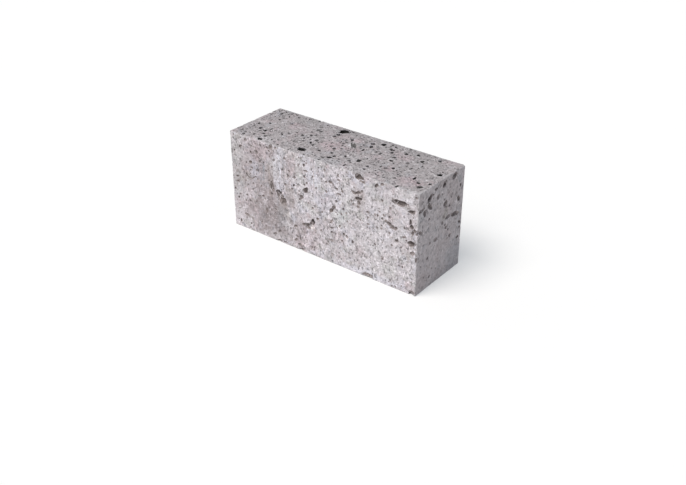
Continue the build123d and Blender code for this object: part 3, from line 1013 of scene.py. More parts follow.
@dataclass
class BrickSkin:
    """The block's worn skin before its hollows are cut: a closed grid, fine at the arrises."""

    block: Block
    wear: ArrisWear
    relief: SkinRelief
    fine: float = 0.4
    coarse: float = 2.2
    growth: float = 1.3

    def places(self, length: float) -> list[float]:
        """Choose places along a length, crowded towards both ends.

        Args:
            length: The length.

        Returns:
            The places, from 0 to the length.
        """
        edge = [0.0]
        step = self.fine
        while step < self.coarse:
            edge.append(edge[-1] + step)
            step *= self.growth
        middle = length - 2 * edge[-1]
        count = round(middle / self.coarse)
        inner = [edge[-1] + middle * k / count for k in range(1, count)]
        return edge + inner + [length - place for place in reversed(edge)]

    def grid(self) -> tuple[list[Vector], list[tuple[int, ...]]]:
        """Wrap the block's box in a grid.

        Returns:
            The grid's points, and the corners of its faces.
        """
        ticks = [self.places(length) for length in self.block.size]
        last = [len(row) - 1 for row in ticks]
        index: dict[tuple[int, ...], int] = {}
        points: list[Vector] = []
        faces: list[tuple[int, ...]] = []

        def corner(cell: tuple[int, ...]) -> int:
            """Find a point of the grid, and make it when it is first asked for.

            Args:
                cell: The point's place in the ticks of each axis.

            Returns:
                The point's number.
            """
            if cell not in index:
                index[cell] = len(points)
                points.append(self.block.low + Vector([row[k] for row, k in zip(ticks, cell)]))
            return index[cell]

        for axis in range(3):
            first, second = (axis + 1) % 3, (axis + 2) % 3
            for side in (0, last[axis]):
                for a in range(last[first]):
                    for b in range(last[second]):
                        ring = []
                        for step_a, step_b in ((0, 0), (1, 0), (1, 1), (0, 1)):
                            cell = [0, 0, 0]
                            cell[axis] = side
                            cell[first] = a + step_a
                            cell[second] = b + step_b
                            ring.append(corner(tuple(cell)))
                        faces.append(tuple(ring if side else reversed(ring)))
        return points, faces

    def worn(self, point: Vector) -> Vector:
        """Wear a point of the box: the arrises are rounded and the skin is uneven.

        Args:
            point: A point of the box's surface.

        Returns:
            Where the point comes to lie.
        """
        radius = self.wear.radius(point, self.block)
        box = zip(point, self.block.low, self.block.high)
        inner = Vector([min(max(place, low + radius), high - radius) for place, low, high in box])
        out = (point - inner).normalized()
        return inner + out * (radius - self.relief.depth(point, out))

    def build(self, name: str) -> bpy.types.Object:
        """Make the skin as an object.

        Args:
            name: The object's name.

        Returns:
            The object, linked into the scene.
        """
        points, faces = self.grid()
        mesh = bpy.data.meshes.new(name)
        mesh.from_pydata([self.worn(point) * MM for point in points], [], faces)
        mark(mesh, WALL_NUMBER, np.zeros(len(points)))
        piece = bpy.data.objects.new(name, mesh)
        bpy.context.scene.collection.objects.link(piece)
        return piece


class NodeBench:
    """Adds the nodes of one shader tree and links them."""

    MIX_SOCKETS = (0, 6, 7)
    MIX_RESULT = 2

    def __init__(self, tree: bpy.types.NodeTree) -> None:
        """Work on a tree."""
        self.tree = tree

    def add(self, kind: str, inputs: dict[Any, Any] | None = None, **settings: Any) -> bpy.types.Node:
        """Add a node.

        Args:
            kind: The node's type.
            inputs: What goes into its sockets: sockets of other nodes, or values.
            **settings: The node's own settings.

        Returns:
            The node.
        """
        node = self.tree.nodes.new(kind)
        for setting, value in settings.items():
            setattr(node, setting, value)
        for name, value in (inputs or {}).items():
            if isinstance(value, bpy.types.NodeSocket):
                self.tree.links.new(value, node.inputs[name])
            else:
                node.inputs[name].default_value = value
        return node

    def math(self, operation: str, *values: Any) -> bpy.types.NodeSocket:
        """The result of a sum on values."""
        return self.add("ShaderNodeMath", dict(enumerate(values)), operation=operation).outputs[0]

    def vector(self, operation: str, *values: Any) -> bpy.types.NodeSocket:
        """The result of a sum on vectors."""
        return self.add("ShaderNodeVectorMath", dict(enumerate(values)), operation=operation).outputs[0]

    def centred(self, share: Any) -> bpy.types.NodeSocket:
        """A share less one half, so that it lies about 0."""
        return self.math("SUBTRACT", share, 0.5)

    def thrice(self, value: Any) -> bpy.types.NodeSocket:
        """A vector that has the same value along each axis."""
        return self.add("ShaderNodeCombineXYZ", {0: value, 1: value, 2: value}).outputs[0]

    def step(
        self, value: Any, low: Any, high: Any, start: float = 0.0, end: float = 1.0
    ) -> bpy.types.NodeSocket:
        """A soft step from start, where the value is low, to end, where it is high."""
        inputs = {"Value": value, "From Min": low, "From Max": high, "To Min": start, "To Max": end}
        return self.add("ShaderNodeMapRange", inputs, interpolation_type="SMOOTHSTEP").outputs[0]

    def mix(self, share: Any, first: Any, second: Any, blend: str = "MIX") -> bpy.types.NodeSocket:
        """Blend two colours.

        Args:
            share: The share of the second colour.
            first: The first colour.
            second: The second colour.
            blend: The kind of blend.

        Returns:
            The blend.
        """
        inputs = dict(zip(self.MIX_SOCKETS, (share, first, second)))
        node = self.add("ShaderNodeMix", inputs, data_type="RGBA", blend_type=blend)
        return node.outputs[self.MIX_RESULT]

    def noise(self, place: Any, scale: Any, detail: float, rough: float) -> bpy.types.NodeSocket:
        """A cloudy value about one half."""
        inputs = {"Vector": place, "Scale": scale, "Detail": detail, "Roughness": rough}
        return self.add("ShaderNodeTexNoise", inputs).outputs[0]

    def attribute(self, name: str) -> bpy.types.NodeSocket:
        """A value that the mesh keeps on its points."""
        return self.add("ShaderNodeAttribute", attribute_name=name).outputs["Fac"]


VALUE = "NodeSocketFloat"
VECTOR = "NodeSocketVector"


class EffectGroup:
    """A shader node group that the finishes share; each kind of effect says what it takes and gives."""

    name = ""
    takes: dict[str, str] = {}
    gives: tuple[str, ...] = ()

    def __init__(self) -> None:
        """Make the group, once."""
        self.tree = bpy.data.node_groups.new(self.name, "ShaderNodeTree")
        for socket, kind in self.takes.items():
            self.tree.interface.new_socket(name=socket, in_out="INPUT", socket_type=kind)
        for socket in self.gives:
            self.tree.interface.new_socket(name=socket, in_out="OUTPUT", socket_type=VALUE)
        bench = NodeBench(self.tree)
        entry = bench.add("NodeGroupInput")
        results = self.results(bench, entry.outputs)
        bench.add("NodeGroupOutput", dict(zip(self.gives, results)))

    def results(self, bench: NodeBench, given: Items) -> tuple[Any, ...]:
        """Lay out the group's nodes and return what it gives, in order."""
        raise NotImplementedError

    def place(self, bench: NodeBench, **inputs: Any) -> Items:
        """Put the group into a tree with its own values, and return its outputs."""
        named = {name.capitalize(): value for name, value in inputs.items()}
        return bench.add("ShaderNodeGroup", named, node_tree=self.tree).outputs


class SandGrain(EffectGroup):
    """Sand in the paste: each grain has a shade of its own, with finer dust between."""

    name = "sand grain"
    takes = {"Place": VECTOR, "Grain": VALUE}
    gives = ("Shade", "Height", "Dark", "Pale")
    DUST_RATE = 1.7
    DUST_DETAIL = 3.0
    DUST_ROUGH = 0.65
    DOME_HEIGHT = 0.5
    DARK_CHANCES = (0.14, 0.07)
    PALE_CHANCES = (0.89, 0.95)

    def results(self, bench: NodeBench, given: Items) -> tuple[Any, ...]:
        """Lay out the grains and the dust.

        Args:
            bench: The group's nodes.
            given: What the group takes.

        Returns:
            The shade about 0, the height, and the masks of the dark and the pale grains.
        """
        scale = bench.math("DIVIDE", 1.0, given["Grain"])
        cells = bench.add("ShaderNodeTexVoronoi", {"Vector": given["Place"], "Scale": scale})
        chance = bench.add("ShaderNodeSeparateColor", {0: cells.outputs["Color"]}).outputs[0]
        dust_scale = bench.math("MULTIPLY", scale, self.DUST_RATE)
        dust = bench.noise(given["Place"], dust_scale, self.DUST_DETAIL, self.DUST_ROUGH)
        shade = bench.math("ADD", bench.centred(chance), bench.centred(dust))
        dome = bench.math("SUBTRACT", 1.0, cells.outputs["Distance"])
        height = bench.math("ADD", bench.math("MULTIPLY", dome, self.DOME_HEIGHT), dust)
        dark = bench.step(chance, *self.DARK_CHANCES)
        pale = bench.step(chance, *self.PALE_CHANCES)
        return shade, height, dark, pale


class Clouds(EffectGroup):
    """Soft clouds that spread over the faces."""

    name = "clouds"
    takes = {"Place": VECTOR, "Size": VALUE, "Seed": VALUE, "Low": VALUE, "High": VALUE}
    gives = ("Mask",)
    DETAIL = 4.0
    ROUGH = 0.55

    def results(self, bench: NodeBench, given: Items) -> tuple[Any, ...]:
        """Lay out the clouds.

        Args:
            bench: The group's nodes.
            given: What the group takes.

        Returns:
            The mask of the clouds.
        """
        place = bench.vector("ADD", given["Place"], bench.thrice(given["Seed"]))
        value = bench.noise(place, bench.math("DIVIDE", 1.0, given["Size"]), self.DETAIL, self.ROUGH)
        return (bench.step(value, given["Low"], given["High"]),)


class DragStreaks(EffectGroup):
    """Upright streaks that the mould wall drew in the paste."""

    name = "drag streaks"
    takes = {"Place": VECTOR, "Seed": VALUE, "Width": VALUE, "Length": VALUE}
    gives = ("Mask",)
    DETAIL = 3.0
    ROUGH = 0.6
    EDGE = (0.42, 0.62)

    def results(self, bench: NodeBench, given: Items) -> tuple[Any, ...]:
        """Lay out the streaks.

        Args:
            bench: The group's nodes.
            given: What the group takes.

        Returns:
            The mask of the streaks.
        """
        width = given["Width"]
        size = bench.add("ShaderNodeCombineXYZ", {0: width, 1: width, 2: given["Length"]})
        drawn = bench.vector("DIVIDE", given["Place"], size.outputs[0])
        drawn = bench.vector("ADD", drawn, bench.thrice(given["Seed"]))
        return (bench.step(bench.noise(drawn, 1.0, self.DETAIL, self.ROUGH), *self.EDGE),)


class CrumbledRelief(EffectGroup):
    """The crumbled relief of pressed concrete, as a height about 0."""

    name = "crumbled relief"
    takes = {"Place": VECTOR, "Size": VALUE}
    gives = ("Height",)
    DETAIL = 4.0
    ROUGH = 0.7
    EDGE = (0.3, 0.7)
    LOWEST = -0.5
    HIGHEST = 0.5

    def results(self, bench: NodeBench, given: Items) -> tuple[Any, ...]:
        """Lay out the crumbs.

        Args:
            bench: The group's nodes.
            given: What the group takes.

        Returns:
            The height of the crumbs.
        """
        scale = bench.math("DIVIDE", 1.0, given["Size"])
        crumbs = bench.noise(given["Place"], scale, self.DETAIL, self.ROUGH)
        return (bench.step(crumbs, *self.EDGE, self.LOWEST, self.HIGHEST),)


class Pinholes(EffectGroup):
    """Pinholes that are too small to be cut."""

    name = "pinholes"
    takes = {"Place": VECTOR, "Spacing": VALUE, "Reach": VALUE}
    gives = ("Mask",)
    CHANCES = (0.45, 1.0)
    FLOOR = 0.4

    def results(self, bench: NodeBench, given: Items) -> tuple[Any, ...]:
        """Lay out the pinholes.

        Args:
            bench: The group's nodes.
            given: What the group takes.

        Returns:
            The mask of the pinholes.
        """
        scale = bench.math("DIVIDE", 1.0, given["Spacing"])
        cells = bench.add("ShaderNodeTexVoronoi", {"Vector": given["Place"], "Scale": scale})
        chance = bench.add("ShaderNodeSeparateColor", {0: cells.outputs["Color"]}).outputs[1]
        radius = bench.math("MULTIPLY", given["Reach"], bench.step(chance, *self.CHANCES))
        distance = bench.math("MULTIPLY", cells.outputs["Distance"], given["Spacing"])
        return (bench.step(distance, radius, bench.math("MULTIPLY", radius, self.FLOOR)),)


class SoftZone(EffectGroup):
    """One zone of a face, with a ragged, soft rim."""

    name = "soft zone"
    takes = {"Place": VECTOR, "Centre": VECTOR, "Reach": VECTOR}
    gives = ("Mask",)
    RAG_NOISE = (0.13, 4.0, 0.6)
    RAG = 1.6
    RIM = (1.05, 0.3)
    MOTTLE_NOISE = (0.34, 3.0, 0.65)
    MOTTLE_EDGE = (0.34, 0.56)
    FAINTEST = 0.5

    def results(self, bench: NodeBench, given: Items) -> tuple[Any, ...]:
        """Lay out the zone.

        Args:
            bench: The group's nodes.
            given: What the group takes.

        Returns:
            The mask of the zone.
        """
        offset = bench.vector("SUBTRACT", given["Place"], given["Centre"])
        offset = bench.vector("DIVIDE", offset, given["Reach"])
        far = bench.add("ShaderNodeVectorMath", {0: offset}, operation="LENGTH").outputs["Value"]
        rag = bench.centred(bench.noise(given["Place"], *self.RAG_NOISE))
        inside = bench.step(bench.math("ADD", far, bench.math("MULTIPLY", rag, self.RAG)), *self.RIM)
        spots = bench.noise(given["Place"], *self.MOTTLE_NOISE)
        mottle = bench.step(spots, *self.MOTTLE_EDGE, self.FAINTEST)
        return (bench.math("MULTIPLY", inside, mottle),)


class WornArris(EffectGroup):
    """A ragged band along the arrises, where the skin is rubbed."""

    name = "worn arris"
    takes = {"Place": VECTOR, "Band": VALUE}
    gives = ("Mask",)
    RAG_NOISE = (0.22, 4.0, 0.6)
    RAG = 3.0

    def results(self, bench: NodeBench, given: Items) -> tuple[Any, ...]:
        """Lay out the band.

        Args:
            bench: The group's nodes.
            given: What the group takes.

        Returns:
            The mask of the band.
        """
        rag = bench.centred(bench.noise(given["Place"], *self.RAG_NOISE))
        rag = bench.math("MULTIPLY", rag, bench.math("MULTIPLY", given["Band"], self.RAG))
        distance = bench.math("ADD", bench.attribute(ARRIS_DISTANCE), rag)
        return (bench.step(distance, given["Band"], 0.0),)


class HollowShade(EffectGroup):
    """Painted shade in the hollows: how deep a place lies below the skin, from 0 to 1 at the reach."""

    name = "hollow shade"
    takes = {"Reach": VALUE}
    gives = ("Mask",)
    SHALLOWEST = 0.3

    def results(self, bench: NodeBench, given: Items) -> tuple[Any, ...]:
        """Lay out the depth and return the mask of the painted shade."""
        return (bench.step(bench.attribute(HOLLOW_DEPTH), self.SHALLOWEST, given["Reach"]),)


@dataclass(frozen=True)
class Tint:
    """Clouds of another colour in a finish."""

    colour: Colour
    size: float
    seed: float
    low: float
    high: float
    share: float


@dataclass(frozen=True)
class Patch(Zone):
    """A zone of another colour, drawn out in streaks where it is streaky."""

    colour: Colour
    streaky: bool = False


MAUVE = paint(178, 165, 167)
DUSK = paint(160, 149, 150)
BROWN = paint(165, 153, 149)
LILAC = paint(219, 217, 229)
LIME = paint(227, 222, 225)
PINK = paint(207, 189, 193)
ROSE = paint(190, 166, 171)
SLATE = paint(168, 171, 179)
SAGE = paint(192, 193, 187)
PEBBLE = paint(240, 229, 228)
SMUDGE = paint(140, 133, 130)
CHALK = paint(242, 236, 241)
BLOOM = paint(238, 236, 246)
PALE_SAGE = paint(220, 221, 221)
ASH = paint(152, 151, 151)
STRAW = paint(178, 174, 160)
UMBER = paint(150, 138, 134)
DUN = paint(186, 176, 175)


@dataclass(frozen=True)
class ConcreteFinish:
    """A finish of the concrete.

    It has a paste, clouds and patches of other colours, streaks, a relief, sand, pinholes with painted
    shade, worn arrises and painted shade that darkens the depths of its hollows. Sizes are in millimetres,
    and a share or a contrast is how much of it shows.
    """

    name: str
    paste: Colour
    tints: tuple[Tint, ...] = ()
    patches: tuple[Patch, ...] = ()
    streak: Colour = LIME
    streak_share: float = 0.0
    relief: float = 1.6
    relief_size: float = 5.0
    relief_contrast: float = 0.3
    smooth: tuple[Zone, ...] = ()
    grain: float = 1.25
    drawn: float = 1.0
    contrast: float = 0.26
    dark_grain: float = 0.36
    pale_grain: float = 0.2
    # Painted shade in the pinholes, which are too small to be cut
    pinhole_shade: Colour = paint(112, 105, 103)
    pinhole_shade_share: float = 0.6
    pinhole_reach: float = 0.9
    pinhole_spacing: float = 3.1
    wear: Colour = paint(208, 205, 207)
    wear_band: float = 1.8
    wear_share: float = 0.45
    # Painted shade: the colour that a hollow's wall darkens to with depth below the skin
    hollow: Colour = SMUDGE
    hollow_shade_reach: float = 2.0
    hollow_shade_share: float = 0.0
    bump: float = 0.6


FRONT_PATCHES = (
    Patch(Face.FRONT, 50, 24, 32, 34, 0.9, DUSK),
    Patch(Face.FRONT, 32, 66, 42, 46, 0.65, MAUVE),
    Patch(Face.FRONT, 4, 66, 12, 60, 0.35, SAGE),
    Patch(Face.FRONT, 34, 88, 20, 15, 0.5, PINK),
    Patch(Face.FRONT, 37, 68, 8, 17, 0.9, SLATE, True),
    Patch(Face.FRONT, 47.5, 61, 6, 20, 1.0, BROWN, True),
    Patch(Face.FRONT, 59, 77, 9, 28, 1.0, BLOOM, True),
    Patch(Face.FRONT, 100, 82, 12, 28, 1.0, BLOOM, True),
    Patch(Face.FRONT, 74, 85, 9, 18, 0.6, PINK),
    Patch(Face.FRONT, 84, 78, 9, 22, 0.5, SAGE, True),
    Patch(Face.FRONT, 67.5, 66, 2.6, 34, 0.6, SMUDGE, True),
    Patch(Face.FRONT, 64.6, 80, 1.3, 18, 0.75, SMUDGE),
    Patch(Face.FRONT, 62, 26, 9, 16, 0.3, SLATE),
    Patch(Face.FRONT, 90, 16, 24, 13, 0.3, ROSE),
    Patch(Face.FRONT, 82, 22, 10, 24, 0.4, DUSK),
    Patch(Face.FRONT, 110, 36, 9, 14, 0.35, MAUVE),
    Patch(Face.FRONT, 19, 21, 13, 13, 0.65, MAUVE),
    Patch(Face.FRONT, 54, 77, 8, 13, 0.6, LIME),
    Patch(Face.FRONT, 14, 77, 15, 9, 0.45, LIME),
    Patch(Face.FRONT, 80, 74, 22, 30, 0.6, CHALK, True),
    Patch(Face.FRONT, 53, 5, 11, 8, 0.45, LIME),
    Patch(Face.FRONT, 68, 20, 8, 12, 0.4, LIME),
    Patch(Face.FRONT, 97, 29.2, 4.2, 3.8, 1.0, PEBBLE),
    Patch(Face.FRONT, 172, 38, 52, 60, 0.4, LIME),
    Patch(Face.FRONT, 137, 77, 17, 12, 0.65, CHALK),
    Patch(Face.FRONT, 196, 92, 18, 11, 0.5, CHALK),
    Patch(Face.FRONT, 172, 24, 13, 34, 0.5, CHALK),
    Patch(Face.FRONT, 142, 6, 12, 10, 0.5, LIME),
    Patch(Face.FRONT, 130, 50, 13, 12, 0.7, PALE_SAGE),
    Patch(Face.FRONT, 112, 60, 12, 12, 0.4, LILAC),
    Patch(Face.FRONT, 165, 86, 10, 9, 0.25, SLATE),
    Patch(Face.FRONT, 182, 14, 10, 14, 0.4, SAGE),
    Patch(Face.FRONT, 150, 74, 8, 18, 0.35, BROWN),
    Patch(Face.FRONT, 204, 62, 6, 22, 0.3, BROWN),
    Patch(Face.FRONT, 63, 43, 8, 6, 0.5, BROWN),
    Patch(Face.FRONT, 164, 2, 56, 8, 0.7, BLOOM),
    Patch(Face.FRONT, 118, 24, 7, 20, 0.35, ASH),
    Patch(Face.FRONT, 71, 52, 7, 20, 0.35, BROWN),
    Patch(Face.FRONT, 29, 66, 9, 13, 0.6, LILAC),
    Patch(Face.FRONT, 121, 84, 9, 7, 0.5, BLOOM),
    Patch(Face.FRONT, 170, 69, 10, 7, 0.5, CHALK),
    Patch(Face.FRONT, 209, 4, 5, 6, 0.7, DUSK),
)

BACK_PATCHES = (
    Patch(Face.BACK, 60, 30, 40, 32, 0.8, DUSK),
    Patch(Face.BACK, 150, 70, 46, 34, 0.6, MAUVE),
    Patch(Face.BACK, 100, 78, 20, 28, 0.9, LILAC, True),
    Patch(Face.BACK, 182, 30, 32, 38, 0.6, CHALK),
    Patch(Face.BACK, 20, 76, 22, 24, 0.6, PINK),
    Patch(Face.BACK, 122, 22, 26, 18, 0.5, SAGE),
    Patch(Face.BACK, 84, 60, 12, 34, 0.9, BROWN, True),
    Patch(Face.BACK, 40, 62, 16, 32, 0.9, CHALK, True),
    Patch(Face.BACK, 168, 46, 14, 30, 0.8, SLATE, True),
)

FRONT_SMOOTH = (
    Zone(Face.FRONT, 22, 28, 60, 62, 0.4),
    Zone(Face.FRONT, 176, 86, 36, 20, 0.4),
)

TOP_PATCHES = (
    Patch(Face.TOP, 97, 32, 17, 15, 0.45, ROSE),
    Patch(Face.TOP, 190, 14, 15, 13, 0.45, ROSE),
    Patch(Face.TOP, 108, 54, 8, 6, 0.5, ROSE),
    Patch(Face.TOP, 163, 50, 9, 9, 0.45, ROSE),
    Patch(Face.TOP, 43, 46, 13, 10, 0.3, ROSE),
    Patch(Face.TOP, 142, 36, 8, 8, 0.3, ROSE),
    Patch(Face.TOP, 118, 6, 18, 8, 0.3, SLATE),
    Patch(Face.TOP, 37, 5, 15, 8, 0.35, LIME),
    Patch(Face.TOP, 127, 22, 12, 9, 0.25, LIME),
    Patch(Face.TOP, 108, 10, 7, 5, 0.5, DUSK),
    Patch(Face.TOP, 107, 44, 2.4, 7, 0.8, LIME),
    Patch(Face.TOP, 105, 74, 140, 34, 0.3, ASH),
    Patch(Face.TOP, 140, -4, 90, 24, 0.2, LIME),
)

END_PATCHES = (
    Patch(Face.RIGHT_END, 48, 72, 8, 18, 0.35, MAUVE),
    Patch(Face.RIGHT_END, 42, 64, 6, 12, 0.3, STRAW),
    Patch(Face.RIGHT_END, 8, 12, 14, 14, 0.4, MAUVE),
    Patch(Face.RIGHT_END, 60, 14, 18, 22, 0.5, SLATE),
)

LEFT_END_PATCHES = (
    Patch(Face.LEFT_END, 22, 28, 26, 26, 0.6, MAUVE),
    Patch(Face.LEFT_END, 54, 62, 16, 32, 0.6, SLATE),
    Patch(Face.LEFT_END, 18, 82, 18, 16, 0.5, LIME),
)

BED_PATCHES = (
    Patch(Face.BED, 58, 30, 40, 22, 0.5, DUSK),
    Patch(Face.BED, 150, 46, 36, 20, 0.4, LIME),
    Patch(Face.BED, 112, 14, 24, 12, 0.5, ROSE),
)

END_SMOOTH = (
    Zone(Face.RIGHT_END, 35, 6, 70, 48, 0.5),
)

LONG_FACE = ConcreteFinish(
    name="moulded_long_face",
    paste=paint(232, 224, 230),
    tints=(
        Tint(MAUVE, 30.0, 11.0, 0.50, 0.64, 0.45),
        Tint(PINK, 13.0, 19.0, 0.50, 0.62, 0.6),
        Tint(SAGE, 15.0, 65.0, 0.51, 0.63, 0.5),
        Tint(LILAC, 11.0, 47.0, 0.52, 0.63, 0.6),
        Tint(LIME, 4.0, 83.0, 0.53, 0.66, 0.7),
        Tint(BROWN, 4.0, 29.0, 0.54, 0.66, 0.6),
        Tint(SMUDGE, 2.6, 41.0, 0.58, 0.68, 0.5),
    ),
    patches=FRONT_PATCHES + BACK_PATCHES,
    smooth=FRONT_SMOOTH,
    streak_share=0.5,
    drawn=1.7,
    relief=2.4,
    relief_contrast=0.45,
)

TOP_FACE = ConcreteFinish(
    name="struck_top_face",
    paste=paint(169, 162, 163),
    tints=(
        Tint(ROSE, 18.0, 61.0, 0.52, 0.66, 0.3),
        Tint(SLATE, 9.0, 17.0, 0.55, 0.68, 0.3),
        Tint(LIME, 3.0, 5.0, 0.55, 0.68, 0.5),
        Tint(DUSK, 3.4, 77.0, 0.55, 0.68, 0.5),
    ),
    patches=TOP_PATCHES + BED_PATCHES,
    # Darker painted shade in the pinholes of the top and the bed
    pinhole_shade=paint(84, 80, 79),
    pinhole_shade_share=0.85,
    pinhole_reach=1.15,
    pinhole_spacing=2.5,
)

END_FACE = ConcreteFinish(
    name="moulded_end_face",
    paste=paint(198, 191, 195),
    tints=(
        Tint(MAUVE, 24.0, 71.0, 0.52, 0.66, 0.4),
        Tint(SLATE, 14.0, 37.0, 0.54, 0.68, 0.4),
        Tint(LIME, 4.0, 53.0, 0.56, 0.70, 0.3),
        Tint(BROWN, 4.0, 31.0, 0.56, 0.70, 0.35),
    ),
    patches=END_PATCHES + LEFT_END_PATCHES,
    smooth=END_SMOOTH,
    streak_share=0.3,
    drawn=1.7,
    contrast=0.2,
    dark_grain=0.26,
    pale_grain=0.14,
)

TORN_SIDE = ConcreteFinish(
    name="torn_wall_of_long_face",
    paste=paint(176, 164, 163),
    tints=(
        Tint(UMBER, 6.0, 23.0, 0.46, 0.62, 0.5),
        Tint(DUN, 3.0, 91.0, 0.54, 0.66, 0.5),
    ),
    grain=1.1,
    contrast=0.35,
    wear_share=0.0,
    # Painted shade deep in the hollows of the long faces
    hollow=paint(117, 107, 104),
    hollow_shade_reach=2.4,
    hollow_shade_share=0.9,
    bump=0.8,
)

TORN_TOP = replace(
    TORN_SIDE,
    name="torn_wall_of_top_face",
    paste=paint(122, 118, 117),
    tints=(),
    # Painted shade, nearly black, deep in the pits of the top and the bed
    hollow=paint(36, 34, 33),
    hollow_shade_reach=1.4,
    hollow_shade_share=1.0,
)

TORN_END = replace(
    TORN_SIDE,
    name="torn_wall_of_end_face",
    paste=paint(166, 157, 158),
    # Painted shade deep in the hollows of the ends
    hollow=paint(110, 102, 102),
    hollow_shade_reach=3.0,
)

FINISH_OF_HOLLOW: dict[Face, ConcreteFinish] = {
    Face.FRONT: TORN_SIDE,
    Face.BACK: TORN_SIDE,
    Face.RIGHT_END: TORN_END,
    Face.LEFT_END: TORN_END,
    Face.TOP: TORN_TOP,
    Face.BED: TORN_TOP,
}

FINISH_OF_FACE: dict[Face, ConcreteFinish] = {
    Face.FRONT: LONG_FACE,
    Face.BACK: LONG_FACE,
    Face.RIGHT_END: END_FACE,
    Face.LEFT_END: END_FACE,
    Face.TOP: TOP_FACE,
    Face.BED: TOP_FACE,
}


class FinishShop:
    """Makes the materials of the finishes from effect groups that they share."""

    STREAK_WIDTH = 2.4
    STREAK_LENGTH = 32.0
    STREAK_CLOUD = 28.0
    STREAK_SEED = 3.0
    BUMP_DISTANCE = 0.0007
    SAND_HEIGHT = 0.7
    PINHOLE_DEPTH = 0.8
    STREAK_EDGE = (0.42, 0.58)
    SHADE_REACH = 0.6
    ROUGHEST = 0.97
    SMOOTHEST = 0.82

    def __init__(self, block: Block) -> None:
        """Make the effect groups, once.

        Args:
            block: The block that is finished.
        """
        self.block = block
        self.sand = SandGrain()
        self.clouds = Clouds()
        self.streaks = DragStreaks()
        self.crumbled = CrumbledRelief()
        self.pinholes = Pinholes()
        self.zone = SoftZone()
        self.worn = WornArris()
        self.deep = HollowShade()

    def material(self, finish: ConcreteFinish) -> bpy.types.Material:
        """Make the material of a finish.

        Args:
            finish: The finish.

        Returns:
            The material.
        """
        material = bpy.data.materials.new(finish.name)
        material.use_nodes = True
        bench = NodeBench(material.node_tree)
        shader = material.node_tree.nodes["Principled BSDF"]
        coordinates = bench.add("ShaderNodeTexCoord").outputs["Object"]
        to_millimetres = {0: coordinates, "Scale": 1 / MM}
        place = bench.add("ShaderNodeVectorMath", to_millimetres, operation="SCALE").outputs[0]
        upright = bench.vector("MULTIPLY", place, (1.0, 1.0, 1 / finish.drawn))
        sand = self.sand.place(bench, place=upright, grain=finish.grain)
        holes = self.pinholes.place(
            bench, place=place, spacing=finish.pinhole_spacing, reach=finish.pinhole_reach
        )[0]
        rugged = self.rugged(bench, finish, place)
        crumbs = self.crumbled.place(bench, place=place, size=finish.relief_size)[0]
        relief = bench.math("MULTIPLY", crumbs, rugged)
        colour = self.tinted(bench, finish, place)
        colour = self.sanded(bench, finish, colour, sand, relief, rugged)
        colour = self.aged(bench, finish, colour, place, holes)
        shades = (-self.SHADE_REACH, self.SHADE_REACH)
        rough = bench.step(sand["Shade"], *shades, self.ROUGHEST, self.SMOOTHEST)
        height = bench.math("MULTIPLY", relief, finish.relief)
        height = bench.math("MULTIPLY_ADD", sand["Height"], self.SAND_HEIGHT, height)
        height = bench.math("MULTIPLY_ADD", holes, -self.PINHOLE_DEPTH, height)
        bump = bench.add("ShaderNodeBump", {"Height": height})
        bump.inputs["Strength"].default_value = finish.bump
        bump.inputs["Distance"].default_value = self.BUMP_DISTANCE
        links = material.node_tree.links
        links.new(colour, shader.inputs["Base Color"])
        links.new(rough, shader.inputs["Roughness"])
        links.new(bump.outputs[0], shader.inputs["Normal"])
        return material

    def rugged(self, bench: NodeBench, finish: ConcreteFinish, place: Any) -> Any:
        """How rugged the skin of a finish is: 1, and less where it is smooth.

        Args:
            bench: The material's nodes.
            finish: The finish.
            place: The place on the block, in millimetres.

        Returns:
            The share of the relief and the sand that shows.
        """
        share: Any = 1.0
        for zone in finish.smooth:
            rest = bench.math("SUBTRACT", 1.0, self.zone_mask(bench, zone, place))
            share = bench.math("MULTIPLY", share, rest)
        return share

    def zone_mask(self, bench: NodeBench, zone: Zone, place: Any) -> Any:
        """How strong a zone is at a place.

        Args:
            bench: The material's nodes.
            zone: The zone.
            place: The place on the block, in millimetres.

        Returns:
            The share of the zone's effect that shows.
        """
        mask = self.zone.place(bench, place=place, centre=zone.centre(self.block), reach=zone.reach())[0]
        return bench.math("MULTIPLY", mask, zone.share)

    def patch_mask(self, bench: NodeBench, patch: Patch, place: Any) -> Any:
        """How much of a patch shows at a place.

        Args:
            bench: The material's nodes.
            patch: The patch.
            place: The place on the block, in millimetres.

        Returns:
            The share of the patch's colour, drawn out in streaks where the patch is streaky.
        """
        mask = self.zone_mask(bench, patch, place)
        if not patch.streaky:
            return mask
        streaks = self.streaks.place(
            bench, place=place, seed=patch.u, width=self.STREAK_WIDTH, length=self.STREAK_LENGTH
        )[0]
        return bench.math("MULTIPLY", mask, streaks)

    def tinted(self, bench: NodeBench, finish: ConcreteFinish, place: Any) -> Any:
        """Lay the clouds, streaks and patches of a finish over its paste.

        Args:
            bench: The material's nodes.
            finish: The finish.
            place: The place on the block, in millimetres.

        Returns:
            The colour.
        """
        colour: Any = finish.paste
        for tint in finish.tints:
            mask = self.clouds.place(
                bench, place=place, size=tint.size, seed=tint.seed, low=tint.low, high=tint.high
            )[0]
            colour = bench.mix(bench.math("MULTIPLY", mask, tint.share), colour, tint.colour)
        if finish.streak_share:
            streaks = self.streaks.place(
                bench, place=place, seed=self.STREAK_SEED, width=self.STREAK_WIDTH, length=self.STREAK_LENGTH
            )[0]
            low, high = self.STREAK_EDGE
            where = self.clouds.place(
                bench, place=place, size=self.STREAK_CLOUD, seed=self.STREAK_SEED, low=low, high=high
            )[0]
            mask = bench.math("MULTIPLY", streaks, where)
            colour = bench.mix(bench.math("MULTIPLY", mask, finish.streak_share), colour, finish.streak)
        for patch in finish.patches:
            colour = bench.mix(self.patch_mask(bench, patch, place), colour, patch.colour)
        return colour

